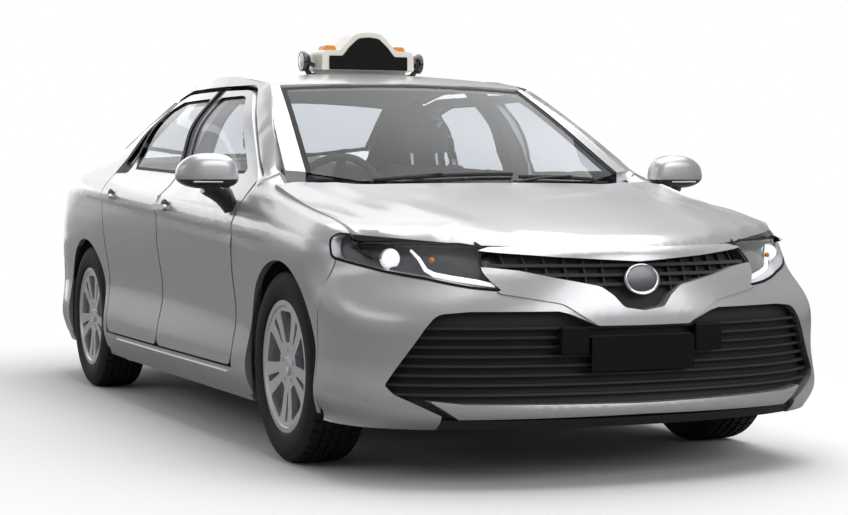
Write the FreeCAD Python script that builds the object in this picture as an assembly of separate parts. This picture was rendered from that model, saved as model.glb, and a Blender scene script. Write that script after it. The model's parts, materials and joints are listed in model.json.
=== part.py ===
"""Four-door saloon taxi cab, full size, as separate panels, glass, wheels, axles, seats and roof sign.

Frame in millimetres: +X forward, +Y to the car's left, +Z up. The origin is on the ground, under the
middle of the overall box. Every body panel is cut from one of the master skins below, so a changed
length, width or height carries through the panels, the glass and what sits against them.
"""
import FreeCAD
import Part

import math
import os

V = FreeCAD.Vector

# ---- driving dimensions --------------------------------------------------------------------------
LENGTH = 4885.0
WHEELBASE = 2825.0
FRONT_OVERHANG = 965.0
TRACK = 1580.0
HALF_WIDTH = 918.0            # body side at its widest, without mirrors
ROOF_HEIGHT = 1445.0
SILL_HEIGHT = 178.0
FLOOR_HALF = 780.0            # floor pan's edge, where the sills stand against it
FLOOR_TOP = 240.0
FIREWALL = 1040.0             # its cabin face
JACK_X = (820.0, -780.0)      # jacking pads under the sills
JACK_Y = 825.0
JACK_Z = 168.0

TYRE_RADIUS = 334.0
TYRE_WIDTH = 215.0
RIM_RADIUS = 216.0            # bead seat
ARCH_RADIUS = 362.0
ARCH_RAISE = 6.0              # arch centre above the axle
ARCH_LIP = 20.0               # depth of the lip before the arch widens
ARCH_WIDEN = 34.0

PANEL_GAP = 6.0               # shut line between a moving panel and its neighbour
SEAT_GAP = 0.3                # two solids that rest on each other
SKIN = 30.0                   # roof, hood and lid, with their inner frames
FASCIA = 60.0                 # bumper cover with its inner beam
GLASS = 5.0
DOOR_INNER = 790.0            # inner face of the doors, from the middle of the car
DOOR_DRAFT = 24.0             # how far a door's edge leans in by its inner face
DOOR_SILL = 292.0             # lower edge of the doors

LINER = 5.0                   # wheel-house liner
FRONT_WELL = ARCH_RADIUS + ARCH_WIDEN + 10
REAR_WELL = ARCH_RADIUS + ARCH_WIDEN + 2
WELL_INNER = 560.0
STRUT_FOOT = (735.0, 200.0)   # y, z of two points on the line that a front wheel steers about
STRUT_TOP = (600.0, 738.0)

NOSE = LENGTH / 2
TAIL = -LENGTH / 2
FRONT_AXLE = NOSE - FRONT_OVERHANG
REAR_AXLE = FRONT_AXLE - WHEELBASE
HUB = TRACK / 2               # middle plane of a wheel


# ---- curves through a short table ------------------------------------------------------------------
def smooth(table):
    """A smooth curve through (position, value) rows, straight on past its ends."""
    rows = sorted(table)
    at = [r[0] for r in rows]
    val = [r[1] for r in rows]
    n = len(rows)
    steps = [(val[i + 1] - val[i]) / (at[i + 1] - at[i]) for i in range(n - 1)]
    slope = [steps[0]] + [0.0] * (n - 2) + [steps[-1]]
    for i in range(1, n - 1):
        left, right = at[i] - at[i - 1], at[i + 1] - at[i]
        slope[i] = (steps[i - 1] * right + steps[i] * left) / (left + right)

    def value(x):
        if x <= at[0]:
            return val[0] + slope[0] * (x - at[0])
        if x >= at[-1]:
            return val[-1] + slope[-1] * (x - at[-1])
        i = max(k for k in range(n - 1) if at[k] <= x)
        h = at[i + 1] - at[i]
        t = (x - at[i]) / h
        return ((2 * t ** 3 - 3 * t ** 2 + 1) * val[i] + (t ** 3 - 2 * t ** 2 + t) * h * slope[i]
                + (3 * t ** 2 - 2 * t ** 3) * val[i + 1] + (t ** 3 - t ** 2) * h * slope[i + 1])

    return value


def ramp(x, low, high, at_low, at_high):
    """at_low below low, at_high above high, and an even blend between."""
    t = min(1.0, max(0.0, (x - low) / (high - low)))
    return at_low + (at_high - at_low) * t * t * (3 - 2 * t)


# ---- master skin of the body side ---------------------------------------------------------------------
ROWS = ("sill", "crease", "waist", "line", "shoulder", "belt", "mid", "rail")
# Each line is a station along the car: x, then height and inset from HALF_WIDTH of each row above.
SIDE = [
    # x      sill       crease    waist      line      shoulder   belt       mid         rail
    (2060, (190, 40), (268, 12), (420, 22), (640, 20), (700, 26), (742, 50), (768, 95), (782, 140)),
    (1860, (185, 40), (266, 12), (420, 21), (690, 12), (750, 20), (793, 48), (820, 92), (832, 142)),
    (1478, (180, 40), (265, 12), (425, 22), (742, 6), (802, 16), (850, 52), (879, 100), (893, 166)),
    (1060, (178, 40), (265, 8), (455, 25), (782, 4), (858, 15), (925, 68), (962, 112), (980, 168)),
    (700, (178, 40), (267, 6), (478, 28), (806, 2), (880, 13), (967, 80), (1086, 150), (1184, 252)),
    (370, (178, 40), (268, 5), (490, 29), (824, 1), (893, 11), (968, 80), (1188, 172), (1359, 350)),
    (0, (178, 40), (270, 4), (495, 30), (844, 0), (908, 9), (973, 78), (1195, 166), (1401, 336)),
    (-400, (180, 40), (275, 4), (500, 29), (862, 0), (925, 9), (986, 79), (1208, 168), (1406, 334)),
    (-750, (182, 40), (281, 5), (505, 27), (876, 1), (940, 11), (1008, 85), (1198, 178), (1380, 348)),
    (-1000, (184, 42), (284, 7), (497, 25), (887, 3), (952, 15), (1030, 94), (1188, 194), (1336, 364)),
    (-1348, (186, 44), (286, 10), (490, 22), (900, 6), (965, 20), (1042, 102), (1126, 204), (1204, 332)),
    (-1640, (188, 48), (288, 14), (485, 22), (905, 12), (968, 29), (1038, 104), (1072, 172), (1094, 262)),
    (-1960, (192, 52), (290, 18), (482, 25), (902, 24), (962, 42), (1024, 104), (1054, 162), (1072, 226)),
    (-2260, (196, 56), (292, 22), (480, 28), (890, 40), (945, 60), (1000, 110), (1030, 170), (1052, 230)),
]
ROW_HEIGHT = [smooth([(s[0], s[k + 1][0]) for s in SIDE]) for k in range(len(ROWS))]
ROW_INSET = [smooth([(s[0], s[k + 1][1]) for s in SIDE]) for k in range(len(ROWS))]
RAIL = len(ROWS) - 1

# ---- how the nose and tail close in plan: height, furthest x on the middle line ----------------------
NOSE_LINE = smooth([(190, NOSE - 55), (232, NOSE - 6), (262, NOSE), (300, NOSE - 14), (360, NOSE - 22),
                    (430, NOSE - 20), (516, NOSE - 10), (563, NOSE - 15), (620, NOSE - 28),
                    (680, NOSE - 44), (720, NOSE - 56), (780, NOSE - 84)])
TAIL_LINE = smooth([(190, TAIL + 60), (260, TAIL + 14), (400, TAIL), (560, TAIL + 2), (640, TAIL + 18),
                    (720, TAIL + 42), (900, TAIL + 62), (1000, TAIL + 70), (1090, TAIL + 92)])


def corner(x, z):
    """Share of the half width that is left at x, where the nose or tail rounds in."""
    if x > 0:
        start, power = ramp(z, 500, 720, 1838, 1700), ramp(z, 500, 720, 2.8, 1.85)
        reach = NOSE_LINE(z)
    else:
        start, power = -1720, 2.7
        reach = TAIL_LINE(z)
    t = (x - start) / (reach - start)
    return 1.0 if t <= 0 else math.sqrt(max(0.0, 1.0 - min(1.0, t) ** power))


def side_point(x, row):
    """Left-hand point of the side skin at station x, on a row counted from the sill (may be part)."""
    low = min(int(row), RAIL - 1)
    zs = [ROW_HEIGHT[k](x) for k in range(len(ROWS))]
    ys = [ROW_INSET[k](x) for k in range(len(ROWS))]
    z = smooth(list(enumerate(zs)))(row) if row != low else zs[low]
    inset = smooth(list(enumerate(ys)))(row) if row != low else ys[low]
    return V(x, (HALF_WIDTH - inset) * corner(x, z), z)


def side_y(x, z):
    """Half width of the body at station x and height z, up to the rail."""
    rows = sorted((ROW_HEIGHT[k](x), HALF_WIDTH - ROW_INSET[k](x)) for k in range(len(ROWS)))
    return smooth(rows)(z) * corner(x, z)


def end_point(angle, z, front, inset):
    """Point of the nose or tail skin at a height; angle runs 0 on the middle line to 90 at the side."""
    if front:
        start, power = ramp(z, 500, 720, 1838, 1700), ramp(z, 500, 720, 2.8, 1.85)
        reach = NOSE_LINE(z)
        inset = -inset
    else:
        start, power = -1720, 2.7
        reach = TAIL_LINE(z)
    a = math.radians(angle)
    x = start + (reach + inset - start) * max(0.0, math.cos(a)) ** (2.0 / power)
    rows = sorted((ROW_HEIGHT[k](x), HALF_WIDTH - ROW_INSET[k](x)) for k in range(len(ROWS)))
    return V(x, (smooth(rows)(z) - abs(inset)) * math.sin(a), z)


# ---- master skins of the top: hood, glass, roof and lid -------------------------------------------------
HOOD_LINE = smooth([(2360, 782), (2240, 812), (2000, 860), (1808, 894), (1477, 947), (1236, 982),
                    (1060, 1004)])
HOOD_DROP = smooth([(2360, 92), (2240, 84), (2000, 58), (1808, 50), (1477, 52), (1060, 26)])
HOOD_CREASE = smooth([(2360, 300), (1800, 440), (1060, 560)])    # half width of the raised middle
CREASE_RISE = 7.0
CREASE_WIDTH = 120.0
HOOD_HALF = 750.0
LID_LINE = smooth([(-1600, 1106), (-1800, 1111), (-2000, 1108), (-2200, 1098), (-2350, 1086)])
LID_DROP = smooth([(-1600, 28), (-2000, 38), (-2350, 42)])
LID_HALF = 690.0
# ribs across the glasshouse: x and z on the middle line, x where the rib meets the rail
RIBS = {
    "windshield": [(1240, 972, 1058), (985, 1108, 846), (705, 1243, 608), (436, 1372, 374)],
    "roof": [(436, 1372, 374), (215, 1413, 165), (0, 1433, -20), (-260, ROOF_HEIGHT, -265),
             (-600, 1434, -600), (-850, 1406, -835), (-1005, 1372, -985)],
    "rear_window": [(-1005, 1372, -985), (-1230, 1275, -1180), (-1440, 1172, -1370), (-1610, 1088, -1536)],
}


def hood_z(x, y):
    """Height of the hood skin."""
    crease = HOOD_CREASE(x)
    fade = ramp(x, 2100, 2340, 1, 0)
    step = CREASE_RISE * fade * ramp(abs(y), crease - CREASE_WIDTH / 2, crease + CREASE_WIDTH / 2, 0, 1)
    return HOOD_LINE(x) - CREASE_RISE * fade / 2 + step - HOOD_DROP(x) * (y / HOOD_HALF) ** 2


def lid_z(x, y):
    """Height of the luggage lid's top skin."""
    return LID_LINE(x) - LID_DROP(x) * (y / LID_HALF) ** 2


def rib_points(ribs, y, inward=0.0):
    """Points of the glasshouse skin along a lengthwise plane, moved inward across its slope."""
    line = []
    for middle_x, middle_z, rail_x in ribs:
        rail = side_point(rail_x, RAIL)
        share = y / rail.y
        line.append(V(middle_x + (rail_x - middle_x) * share ** 2, y, middle_z + (rail.z - middle_z) * share ** 2))
    if not inward:
        return line
    moved_in = []
    for i, p in enumerate(line):
        along = line[min(i + 1, len(line) - 1)] - line[max(i - 1, 0)]
        down = V(-along.z, 0, along.x).normalize() * inward
        moved_in.append(p + (down if down.z < 0 else down * -1))
    return moved_in


# ---- from points to solids ----------------------------------------------------------------------------
def spread(low, high, count):
    """count even values from low to high."""
    return [low + (high - low) * i / (count - 1) for i in range(count)]


def curve(points):
    line = Part.BSplineCurve()
    line.interpolate(points)
    return line.toShape()


def slab(outer, inner):
    """Loft through stations; each is an outer and an inner curve joined by two straight ends."""
    wires = []
    for out_row, in_row in zip(outer, inner):
        end = Part.LineSegment(out_row[-1], in_row[-1]).toShape()
        start = Part.LineSegment(in_row[0], out_row[0]).toShape()
        wires.append(Part.Wire([curve(out_row), end, curve(in_row[::-1]), start]))
    return Part.makeLoft(wires, True, False)


def rounded(points, close=True):
    """Wire in a plane through (a, b, radius) corners, each rounded by its own radius; a, b are mapped later."""
    n = len(points)
    edges = []
    start = None
    last = None
    for i in range(n):
        p = V(points[i][0], points[i][1], 0)
        r = points[i][2] if len(points[i]) > 2 else 0
        before = V(*points[i - 1][:2], 0) - p
        after = V(*points[(i + 1) % n][:2], 0) - p
        if r > 0:
            half = before.getAngle(after) / 2
            cut = r / math.tan(half)
            a = p + before.normalize() * cut
            c = p + after.normalize() * cut
            bisect = (before + after).normalize()
            m = p + bisect * (r / math.sin(half) - r)
        else:
            a = c = p
        if last is not None and (a - last).Length > 1e-6:
            edges.append(Part.LineSegment(last, a).toShape())
        if r > 0:
            edges.append(Part.Arc(a, m, c).toShape())
        if start is None:
            start = a
        last = c
    if (start - last).Length > 1e-6:
        edges.append(Part.LineSegment(last, start).toShape())
    return Part.Wire(edges)


PLANES = {  # columns of the matrix: where the outline's a, b and depth go
    "xz": FreeCAD.Matrix(1, 0, 0, 0, 0, 0, -1, 0, 0, 1, 0, 0, 0, 0, 0, 1),
    "xy": FreeCAD.Matrix(1, 0, 0, 0, 0, 1, 0, 0, 0, 0, 1, 0, 0, 0, 0, 1),
    "yz": FreeCAD.Matrix(0, 0, 1, 0, 1, 0, 0, 0, 0, 1, 0, 0, 0, 0, 0, 1),
}


def prism(points, plane, low, high):
    """Outline (a, b, radius) in a plane, carried along the third axis from low to high."""
    wire = rounded(points)
    wire.transformShape(PLANES[plane])
    axis = {"xz": V(0, 1, 0), "xy": V(0, 0, 1), "yz": V(1, 0, 0)}[plane]
    wire.translate(axis * low)
    return Part.Face(wire).extrude(axis * (high - low))


def grown(points, by):
    """The outline with each corner moved outward along its bisector, so each side moves out by the same."""
    n = len(points)
    area = sum(points[i][0] * points[(i + 1) % n][1] - points[(i + 1) % n][0] * points[i][1] for i in range(n))
    turn = 1 if area > 0 else -1
    out = []
    for i in range(n):
        p, q, s = points[i - 1], points[i], points[(i + 1) % n]
        d1 = V(q[0] - p[0], q[1] - p[1], 0).normalize()
        d2 = V(s[0] - q[0], s[1] - q[1], 0).normalize()
        n1 = V(d1.y, -d1.x, 0) * turn
        n2 = V(d2.y, -d2.x, 0) * turn
        m = n1 + n2
        k = by / (1 + n1.dot(n2))
        radius = q[2] if len(q) > 2 else 0
        out.append((q[0] + m.x * k, q[1] + m.y * k, max(0, radius)))
    return out


def drafted(points, outer_y, inner_y, draft):
    """Prism along Y whose outline shrinks by draft from outer_y to inner_y."""
    wires = []
    for y, by in ((outer_y, 0.0), (inner_y, -draft)):
        w = rounded(grown(points, by) if by else points)
        w.transformShape(PLANES["xz"])
        w.translate(V(0, y, 0))
        wires.append(w)
    return Part.makeLoft(wires, True, True)


def box(x0, x1, y0, y1, z0, z1):
    return Part.makeBox(x1 - x0, y1 - y0, z1 - z0, V(x0, y0, z0))


def rod(start, end, radius):
    return Part.makeCylinder(radius, (end - start).Length, start, end - start)


def mirrored(shape):
    return shape.mirror(V(0, 0, 0), V(0, 1, 0))


def single(shape):
    """The largest solid of a cut, which drops any sliver."""
    return max(shape.Solids, key=lambda s: s.Volume)


def save(name, *solids):
    shape = solids[0] if len(solids) == 1 else Part.makeCompound(list(solids))
    for s in shape.Solids:
        assert s.isValid() and s.Volume > 0, name
    shape.exportStep("parts/" + name + ".step")
    print(name, len(shape.Solids), round(shape.Volume / 1e6, 2), "litres")


def save_pair(name, left):
    save(name, left, mirrored(left))


# ---- side walls: how far the inner face lies inboard of and below the skin, row by row -------------------
DOOR_WALL = ((90, 0), (120, 0), (100, 0), (125, 0), (115, 0), (52, 0), (40, 14), (32, 26))
THIN_WALL = ((36, 0), (40, 0), (40, 0), (40, 0), (40, 0), (40, 4), (36, 14), (30, 26))


ROW_STEPS = 2


def side_slab(front_x, rear_x, wall, count=9, skin=0.0):
    """Left side wall between two stations, with its points kept on the rows; skin shifts it inboard."""
    outer, inner = [], []
    for x in spread(front_x, rear_x, count):
        heights = [ROW_HEIGHT[k](x) for k in range(len(ROWS))]
        depth = smooth([(z, w[0]) for z, w in zip(heights, wall)])
        sink = smooth([(z, w[1]) for z, w in zip(heights, wall)])
        col_out, col_in = [], []
        levels = [low + (high - low) * i / ROW_STEPS for low, high in zip(heights, heights[1:])
                  for i in range(ROW_STEPS)]
        for z in levels + [heights[RAIL]]:
            y = side_y(x, z) - skin
            col_out.append(V(x, y, z))
            col_in.append(V(x, y - depth(z), z - sink(z)))
        outer.append(col_out)
        inner.append(col_in)
    return slab(outer, inner)


# ---- outlines seen from the side: x, z, corner radius ------------------------------------------------------
FRONT_DOOR = [(947, DOOR_SILL, 45), (944, 600, 900), (975, 985, 12), (285, 1362, 260), (-67, 1369, 8),
              (-67, DOOR_SILL, 45)]
REAR_DOOR = [(-67 - PANEL_GAP, DOOR_SILL, 45), (-67 - PANEL_GAP, 1369, 8), (-560, 1372, 400),
             (-795, 1338, 120), (-1042, 1040, 50), (-975, 760, 300), (-925, DOOR_SILL, 60)]
FRONT_WINDOW = [(845, 1003, 12), (265, 1322, 200), (-15, 1322, 25), (-15, 1003, 15)]
REAR_WINDOW = [(-118, 1005, 15), (-118, 1322, 25), (-560, 1322, 300), (-738, 1290, 50), (-842, 1030, 40)]
QUARTER_WINDOW = [(-872, 1036, 10), (-778, 1266, 16), (-1000, 1056, 16)]
HEADLAMP = [(1836, 808, 15), (2090, 788, 400), (2204, 765, 10), (2271, 687, 300), (2337, 624, 4),
            (2283, 635, 0), (2187, 661, 0), (2062, 684, 200), (1883, 722, 40)]
TAIL_LAMP = [(-1880, 905, 20), (-2120, 930, 100), (-2400, 922, 0), (-2400, 752, 0), (-2060, 780, 100)]
RAIL_END = [(-810, 1300), (-780, 1500)]   # joint between the roof rail and the rear quarter
FENDER = [(947 + PANEL_GAP, 170, 10), (947 + PANEL_GAP, 300, 10), (950 + PANEL_GAP, 600, 900),
          (975 + 1.3 * PANEL_GAP, 985, 8), (975 + 1.3 * PANEL_GAP, 1100, 0), (1900, 1100, 0),
          (1900, 700, 0), (1850, 480, 60), (1850, 170, 10)]


# ---- outlines seen from the front, right half from the middle of the bottom up: y, z, corner radius --------
UPPER_GRILLE = [(0, 563), (72, 574, 30), (105, 612, 40), (145, 641, 60), (300, 671), (389, 691), (545, 708, 8),
                (592, 765, 3), (440, 747), (260, 733), (0, 718)]
LOWER_GRILLE = [(0, 150), (650, 150), (650, 238), (775, 303, 16), (796, 331, 12), (690, 512, 60), (655, 556, 60),
                (560, 565), (290, 565), (254, 556), (165, 518, 30), (0, 517)]
LIP = [(0, 233), (374, 229), (597, 226), (686, 286, 3), (585, 275), (0, 268)]
WING = [(0, 517), (165, 518, 30), (275, 588, 60), (462, 621), (560, 724), (0, 724)]
WING_PROUD = 8.0
LOWER_PLATE = 46.0            # how far the plate behind the lower grille's slats lies under the nose skin
SLATS = 8


def both(half):
    """The whole of an outline that is alike left and right."""
    return half + [(-p[0],) + tuple(p[1:]) for p in half[::-1] if p[0] > 0]


def arch(axle_x, radius, low_y, high_y):
    return Part.makeCylinder(radius, high_y - low_y, V(axle_x, low_y, TYRE_RADIUS + ARCH_RAISE), V(0, 1, 0))


def arch_cut(axle_x):
    """Wheel opening through the side: the lip, then a wider well inside it."""
    lip_y = HALF_WIDTH - 10 - ARCH_LIP
    return [arch(axle_x, ARCH_RADIUS, 400, 1100), arch(axle_x, ARCH_RADIUS + ARCH_WIDEN, 400, lip_y)]


# ---- doors --------------------------------------------------------------------------------------------------
def door(outline, windows, front_x, rear_x):
    wall = side_slab(front_x, rear_x, DOOR_WALL)
    leaf = wall.common(drafted(outline, 960, 500, DOOR_DRAFT))
    for window in windows:
        leaf = leaf.cut(prism(window, "xz", 400, 1000))
    return single(leaf)


def pane(outline, front_x, rear_x, inset=12.0):
    sheet = side_slab(front_x, rear_x, ((GLASS, 0),) * len(ROWS), skin=inset)
    return single(sheet.common(prism(outline, "xz", 400, 1000)))


# ---- top panels ----------------------------------------------------------------------------------------------
def rib_slab(ribs, half, thickness, inset=0.0, count=9):
    """Panel over the glasshouse, out to a half width; its thickness runs inward from inset."""
    planes = spread(-half, half, count)
    outer = [rib_points(ribs, y, inset) for y in planes]
    inner = [rib_points(ribs, y, inset + thickness) for y in planes]
    return slab(outer, inner)


def height_slab(height, front_x, rear_x, half, top, bottom, count=11, points=8):
    """Panel under a height function; top and bottom say how far its faces lie below the skin."""
    outer, inner = [], []
    for y in spread(-half, half, count):
        xs = spread(rear_x, front_x, points)
        outer.append([V(x, y, height(x, y) - top) for x in xs])
        inner.append([V(x, y, height(x, y) - bottom) for x in xs])
    return slab(outer, inner)


def end_slab(front, low_z, high_z, thickness, step_z=8, inset=0.0):
    """Nose or tail skin in level sections from one side of the car to the other."""
    outer, inner = [], []
    for z in spread(low_z, high_z, step_z):
        row_out, row_in = [], []
        for a in spread(-90, 90, 19):
            p = end_point(abs(a), z, front, inset)
            q = end_point(abs(a), z, front, inset + thickness)
            row_out.append(V(p.x, math.copysign(p.y, a), z))
            row_in.append(V(q.x, math.copysign(q.y, a), z))
        outer.append(row_out)
        inner.append(row_in)
    return slab(outer, inner)


def plan(left, low_z=0.0, high_z=1700.0):
    """Upright prism over an outline that is alike left and right; left runs from the rear middle forward."""
    rear, front = left[0], left[-1]
    right = [(x, -y) for x, y in left]
    edges = [curve([V(x, y, low_z) for x, y in left]), curve([V(x, y, low_z) for x, y in right])]
    for x, y in (rear, front):
        if y > 0:
            edges.append(Part.LineSegment(V(x, -y, low_z), V(x, y, low_z)).toShape())
    wire = Part.Wire(Part.__sortEdges__(edges))
    return Part.Face(wire).extrude(V(0, 0, high_z - low_z))


# ---- plan outlines of the top: x, half width, from the rear middle forward ----------------------------------
HOOD_REAR = 1300.0            # on the middle line; the edge sweeps back towards the pillars
HOOD_SWEEP = 178.0


def hood_plan(gap):
    """Rear edge, side and nose edge of the hood, each drawn in by gap."""
    points = []
    half = side_point(1180, RAIL).y
    for share in spread(0, 1, 5):
        points.append((HOOD_REAR - HOOD_SWEEP * share ** 2 + gap, (half - gap) * share))
    for a in (80, 64, 48, 32, 16, 0):
        p = end_point(a, 780, True, 0)
        points.append((p.x - gap, max(0.0, p.y - gap) if a else 0.0))
    return points


def hood_space():
    """What the shut hood sweeps through, with its gap all round."""
    room = height_slab(hood_z, 2400, 1080, 800, -300, SKIN + PANEL_GAP, 27)
    return room.common(plan(hood_plan(-PANEL_GAP / 2)))


LID_FRONT = -1640.0
LID_REAR_HALF = 584.0
LID_FACE_LOW = 742.0


def lid_outline(gap):
    """Half outline of the luggage lid in plan, from the rear middle forward."""
    points = []
    for a in (0, 10, 20, 30):
        p = end_point(a, 1060, False, 0)
        points.append((p.x, p.y))
    points.append((-2205 + gap, LID_REAR_HALF - gap, 30))
    points.append((-2090, LID_REAR_HALF + 8 - gap, 60))
    points.append((-1960, side_point(-1960, RAIL).y - 12 - gap, 300))
    points.append((LID_FRONT - gap, side_point(LID_FRONT, RAIL).y - gap, 20))
    points.append((LID_FRONT - gap, 0))
    return points


def sharp_plan(left, low_z, high_z):
    """Upright prism over a straight-sided outline that is alike left and right."""
    right = [(p[0], -p[1]) + tuple(p[2:]) for p in left[::-1] if p[1] > 0]
    return prism(left + right, "xy", low_z, high_z)


def build_body(doors):
    """Roof, glass, pillars, fenders, quarters and lamps; the centre pillars' seals stand against the doors."""
    side = side_slab(430, -1100, THIN_WALL, 12)

    edge = [(-1005, 0), (-1000, 350, 600)]
    edge += [(x, side_point(x, RAIL).y, 0 if x in (-985, 374) else 900) for x in (-985, -700, -350, 0, 374)]
    edge += [(422, 280, 700), (436, 0)]
    roof = single(rib_slab(RIBS["roof"], 610, SKIN).common(sharp_plan(edge, 0, 1700)))
    save("roof_panel", roof)

    # rail over the doors, from the windscreen pillar to the rear quarter
    over = [(1010, 1200, 0), (1010, 960, 0), (285, 1300, 0), (RAIL_END[0][0] + 30, 1300, 0), RAIL_END[1],
            (300, 1500, 0)]
    rail = side_slab(1020, -880, THIN_WALL, 14).common(prism(over, "xz", 300, 1000)).cut(roof)
    for outline in (FRONT_DOOR, REAR_DOOR):
        rail = rail.cut(prism(grown(outline, PANEL_GAP), "xz", 300, 1000))
    rail = single(rail)
    save_pair("roof_rails", rail)

    # front glass and the pillars beside it
    edge = [(1040, 650), (400, 530)]
    glass_plan = sharp_plan([(440, 0), (434, 260, 600), edge[1], edge[0], (1160, 480, 100), (1218, 240, 400), (1236, 0)],
                            0, 1700)
    glass = single(rib_slab(RIBS["windshield"], 670, GLASS, 4).common(glass_plan).cut(roof))
    save("windscreen", glass)
    frame = rib_slab(RIBS["windshield"], 740, 42)
    post = frame.common(prism([edge[0], (1000, 715), (700, 655), (374, 572), (374, 525), edge[1]], "xy", 0, 1700))
    windscreen_post = single(post.cut(rail).cut(roof).cut(hood_space()))

    # rear glass and the pillars beside it
    edge = [(-990, 500), (-1500, 590)]
    glass_plan = sharp_plan([(-1600, 0), (-1580, 300, 400), edge[1], edge[0], (-1006, 300, 400), (-1008, 0)], 0, 1700)
    glass = single(rib_slab(RIBS["rear_window"], 640, GLASS, 4).common(glass_plan).cut(roof))
    save("rear_window", glass)
    frame = rib_slab(RIBS["rear_window"], 690, 30)
    post = frame.common(prism([edge[0], (-988, 570), (-1180, 600), (-1530, 670), edge[1]], "xy", 0, 1700))
    rear_post = post.cut(roof)

    # rear quarters, from the rear door's edge to the lid and the bumper
    quarter = side_slab(-800, -2252, THIN_WALL, 18)
    cut = grown(REAR_DOOR, PANEL_GAP)
    outline = [(-935, 170, 0), (-935, 400, 0), (-980, 760, 0), (-1042, 1040, 0), (-800, 1342, 0), (-800, 1450, 0),
               (-2252, 1450, 0), (-2252, 745, 10), (-1960, 745, 20), (-1850, 560, 40), (-1850, 170, 10)]
    quarter = quarter.common(prism(outline, "xz", 300, 1000))
    quarter = quarter.cut(prism(cut, "xz", 300, 1000))
    ahead = prism([RAIL_END[0], RAIL_END[1], (0, 1500, 0), (0, 1300, 0)], "xz", 300, 1000)
    quarter = quarter.cut(ahead).cut(roof)
    for well in arch_cut(REAR_AXLE):
        quarter = quarter.cut(well)
    lamp_hole = prism(TAIL_LAMP, "xz", 300, 1000)
    behind_lid = box(-2400, -2000, 0, LID_REAR_HALF + PANEL_GAP, 600, 1200)
    lid_room = height_slab(lid_z, LID_FRONT + 5, -2400, 740, -300, SKIN + PANEL_GAP)
    lid_room = lid_room.common(sharp_plan(lid_outline(-PANEL_GAP), 0, 1700))
    quarter = quarter.cut(lamp_hole).cut(behind_lid).cut(lid_room)
    quarter = single(quarter)
    save_pair("rear_quarters", quarter)
    save_pair("rear_pillars", single(rear_post.cut(quarter)))
    lamp = side_slab(-1860, -2252, ((38, 0),) * len(ROWS), 10).common(prism(TAIL_LAMP, "xz", 300, 1000))
    save_pair("tail_lamps", single(lamp.cut(behind_lid)))

    # front fenders
    fender = side_slab(2050, 930, THIN_WALL, 14).common(prism(FENDER, "xz", 300, 1000))
    for well in arch_cut(FRONT_AXLE):
        fender = fender.cut(well)
    fender = single(fender.cut(prism(HEADLAMP, "xz", 300, 1000)).cut(hood_space()).cut(rail))
    save_pair("front_fenders", fender)
    windscreen_post = single(windscreen_post.cut(fender))
    save_pair("windscreen_pillars", windscreen_post)

    # sills under the doors
    sill = side_slab(1140, -1000, ((160, 0),) * len(ROWS), 12).cut(box(-1200, 1300, 0, FLOOR_HALF, 0, 600))
    under = [(947 + PANEL_GAP, 170, 0), (947 + PANEL_GAP, DOOR_SILL - PANEL_GAP, 0),
             (-935, DOOR_SILL - PANEL_GAP, 0), (-935, 170, 0)]
    sill = single(sill.common(prism(under, "xz", 300, 1000)))
    for x in JACK_X:
        sill = sill.fuse(box(x - 40, x + 40, JACK_Y - 22, JACK_Y + 22, JACK_Z, SILL_HEIGHT + 20))
    save_pair("sills", single(sill))

    liners = []
    for axle, radius, wall in ((FRONT_AXLE, FRONT_WELL, fender), (REAR_AXLE, REAR_WELL, quarter)):
        shell = arch(axle, radius + LINER, WELL_INNER, 886).cut(arch(axle, radius, 500, 900))
        shell = shell.cut(box(axle - 600, axle + 600, 500, 900, -200, TYRE_RADIUS + 20))
        if axle > 0:
            top = V(axle, STRUT_TOP[0], STRUT_TOP[1])
            lean = V(0, STRUT_TOP[0] - STRUT_FOOT[0], STRUT_TOP[1] - STRUT_FOOT[1]).normalize()
            boss = rod(top + lean * SEAT_GAP, top + lean * 14, 34)
            shell = shell.fuse(boss)
            shell = shell.cut(box(1800, 2000, 600, 900, 0, 900))
        shell = single(shell.cut(wall))
        liners += [shell, mirrored(shell)]
    save("wheel_liners", *liners)

    # posts between the doors, behind their skins
    inner = []
    outer = []
    for x in spread(-10, -130, 3):
        row_out, row_in = [], []
        for z in spread(FLOOR_TOP, 1420, 12):
            y = min(DOOR_INNER + 3, side_y(x, z) - 52)
            row_out.append(V(x, y, z))
            row_in.append(V(x, y - 55, z))
        outer.append(row_out)
        inner.append(row_in)
    post = slab(outer, inner).cut(roof).cut(rail).cut(sill)
    for leaf in doors:
        post = post.cut(leaf.translated(V(0, -SEAT_GAP, 0)))
    post = single(post)
    save_pair("centre_pillars", post)
    fixed = [fender, windscreen_post, liners[0]]
    fixed += [mirrored(part) for part in fixed]
    return fixed


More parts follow.
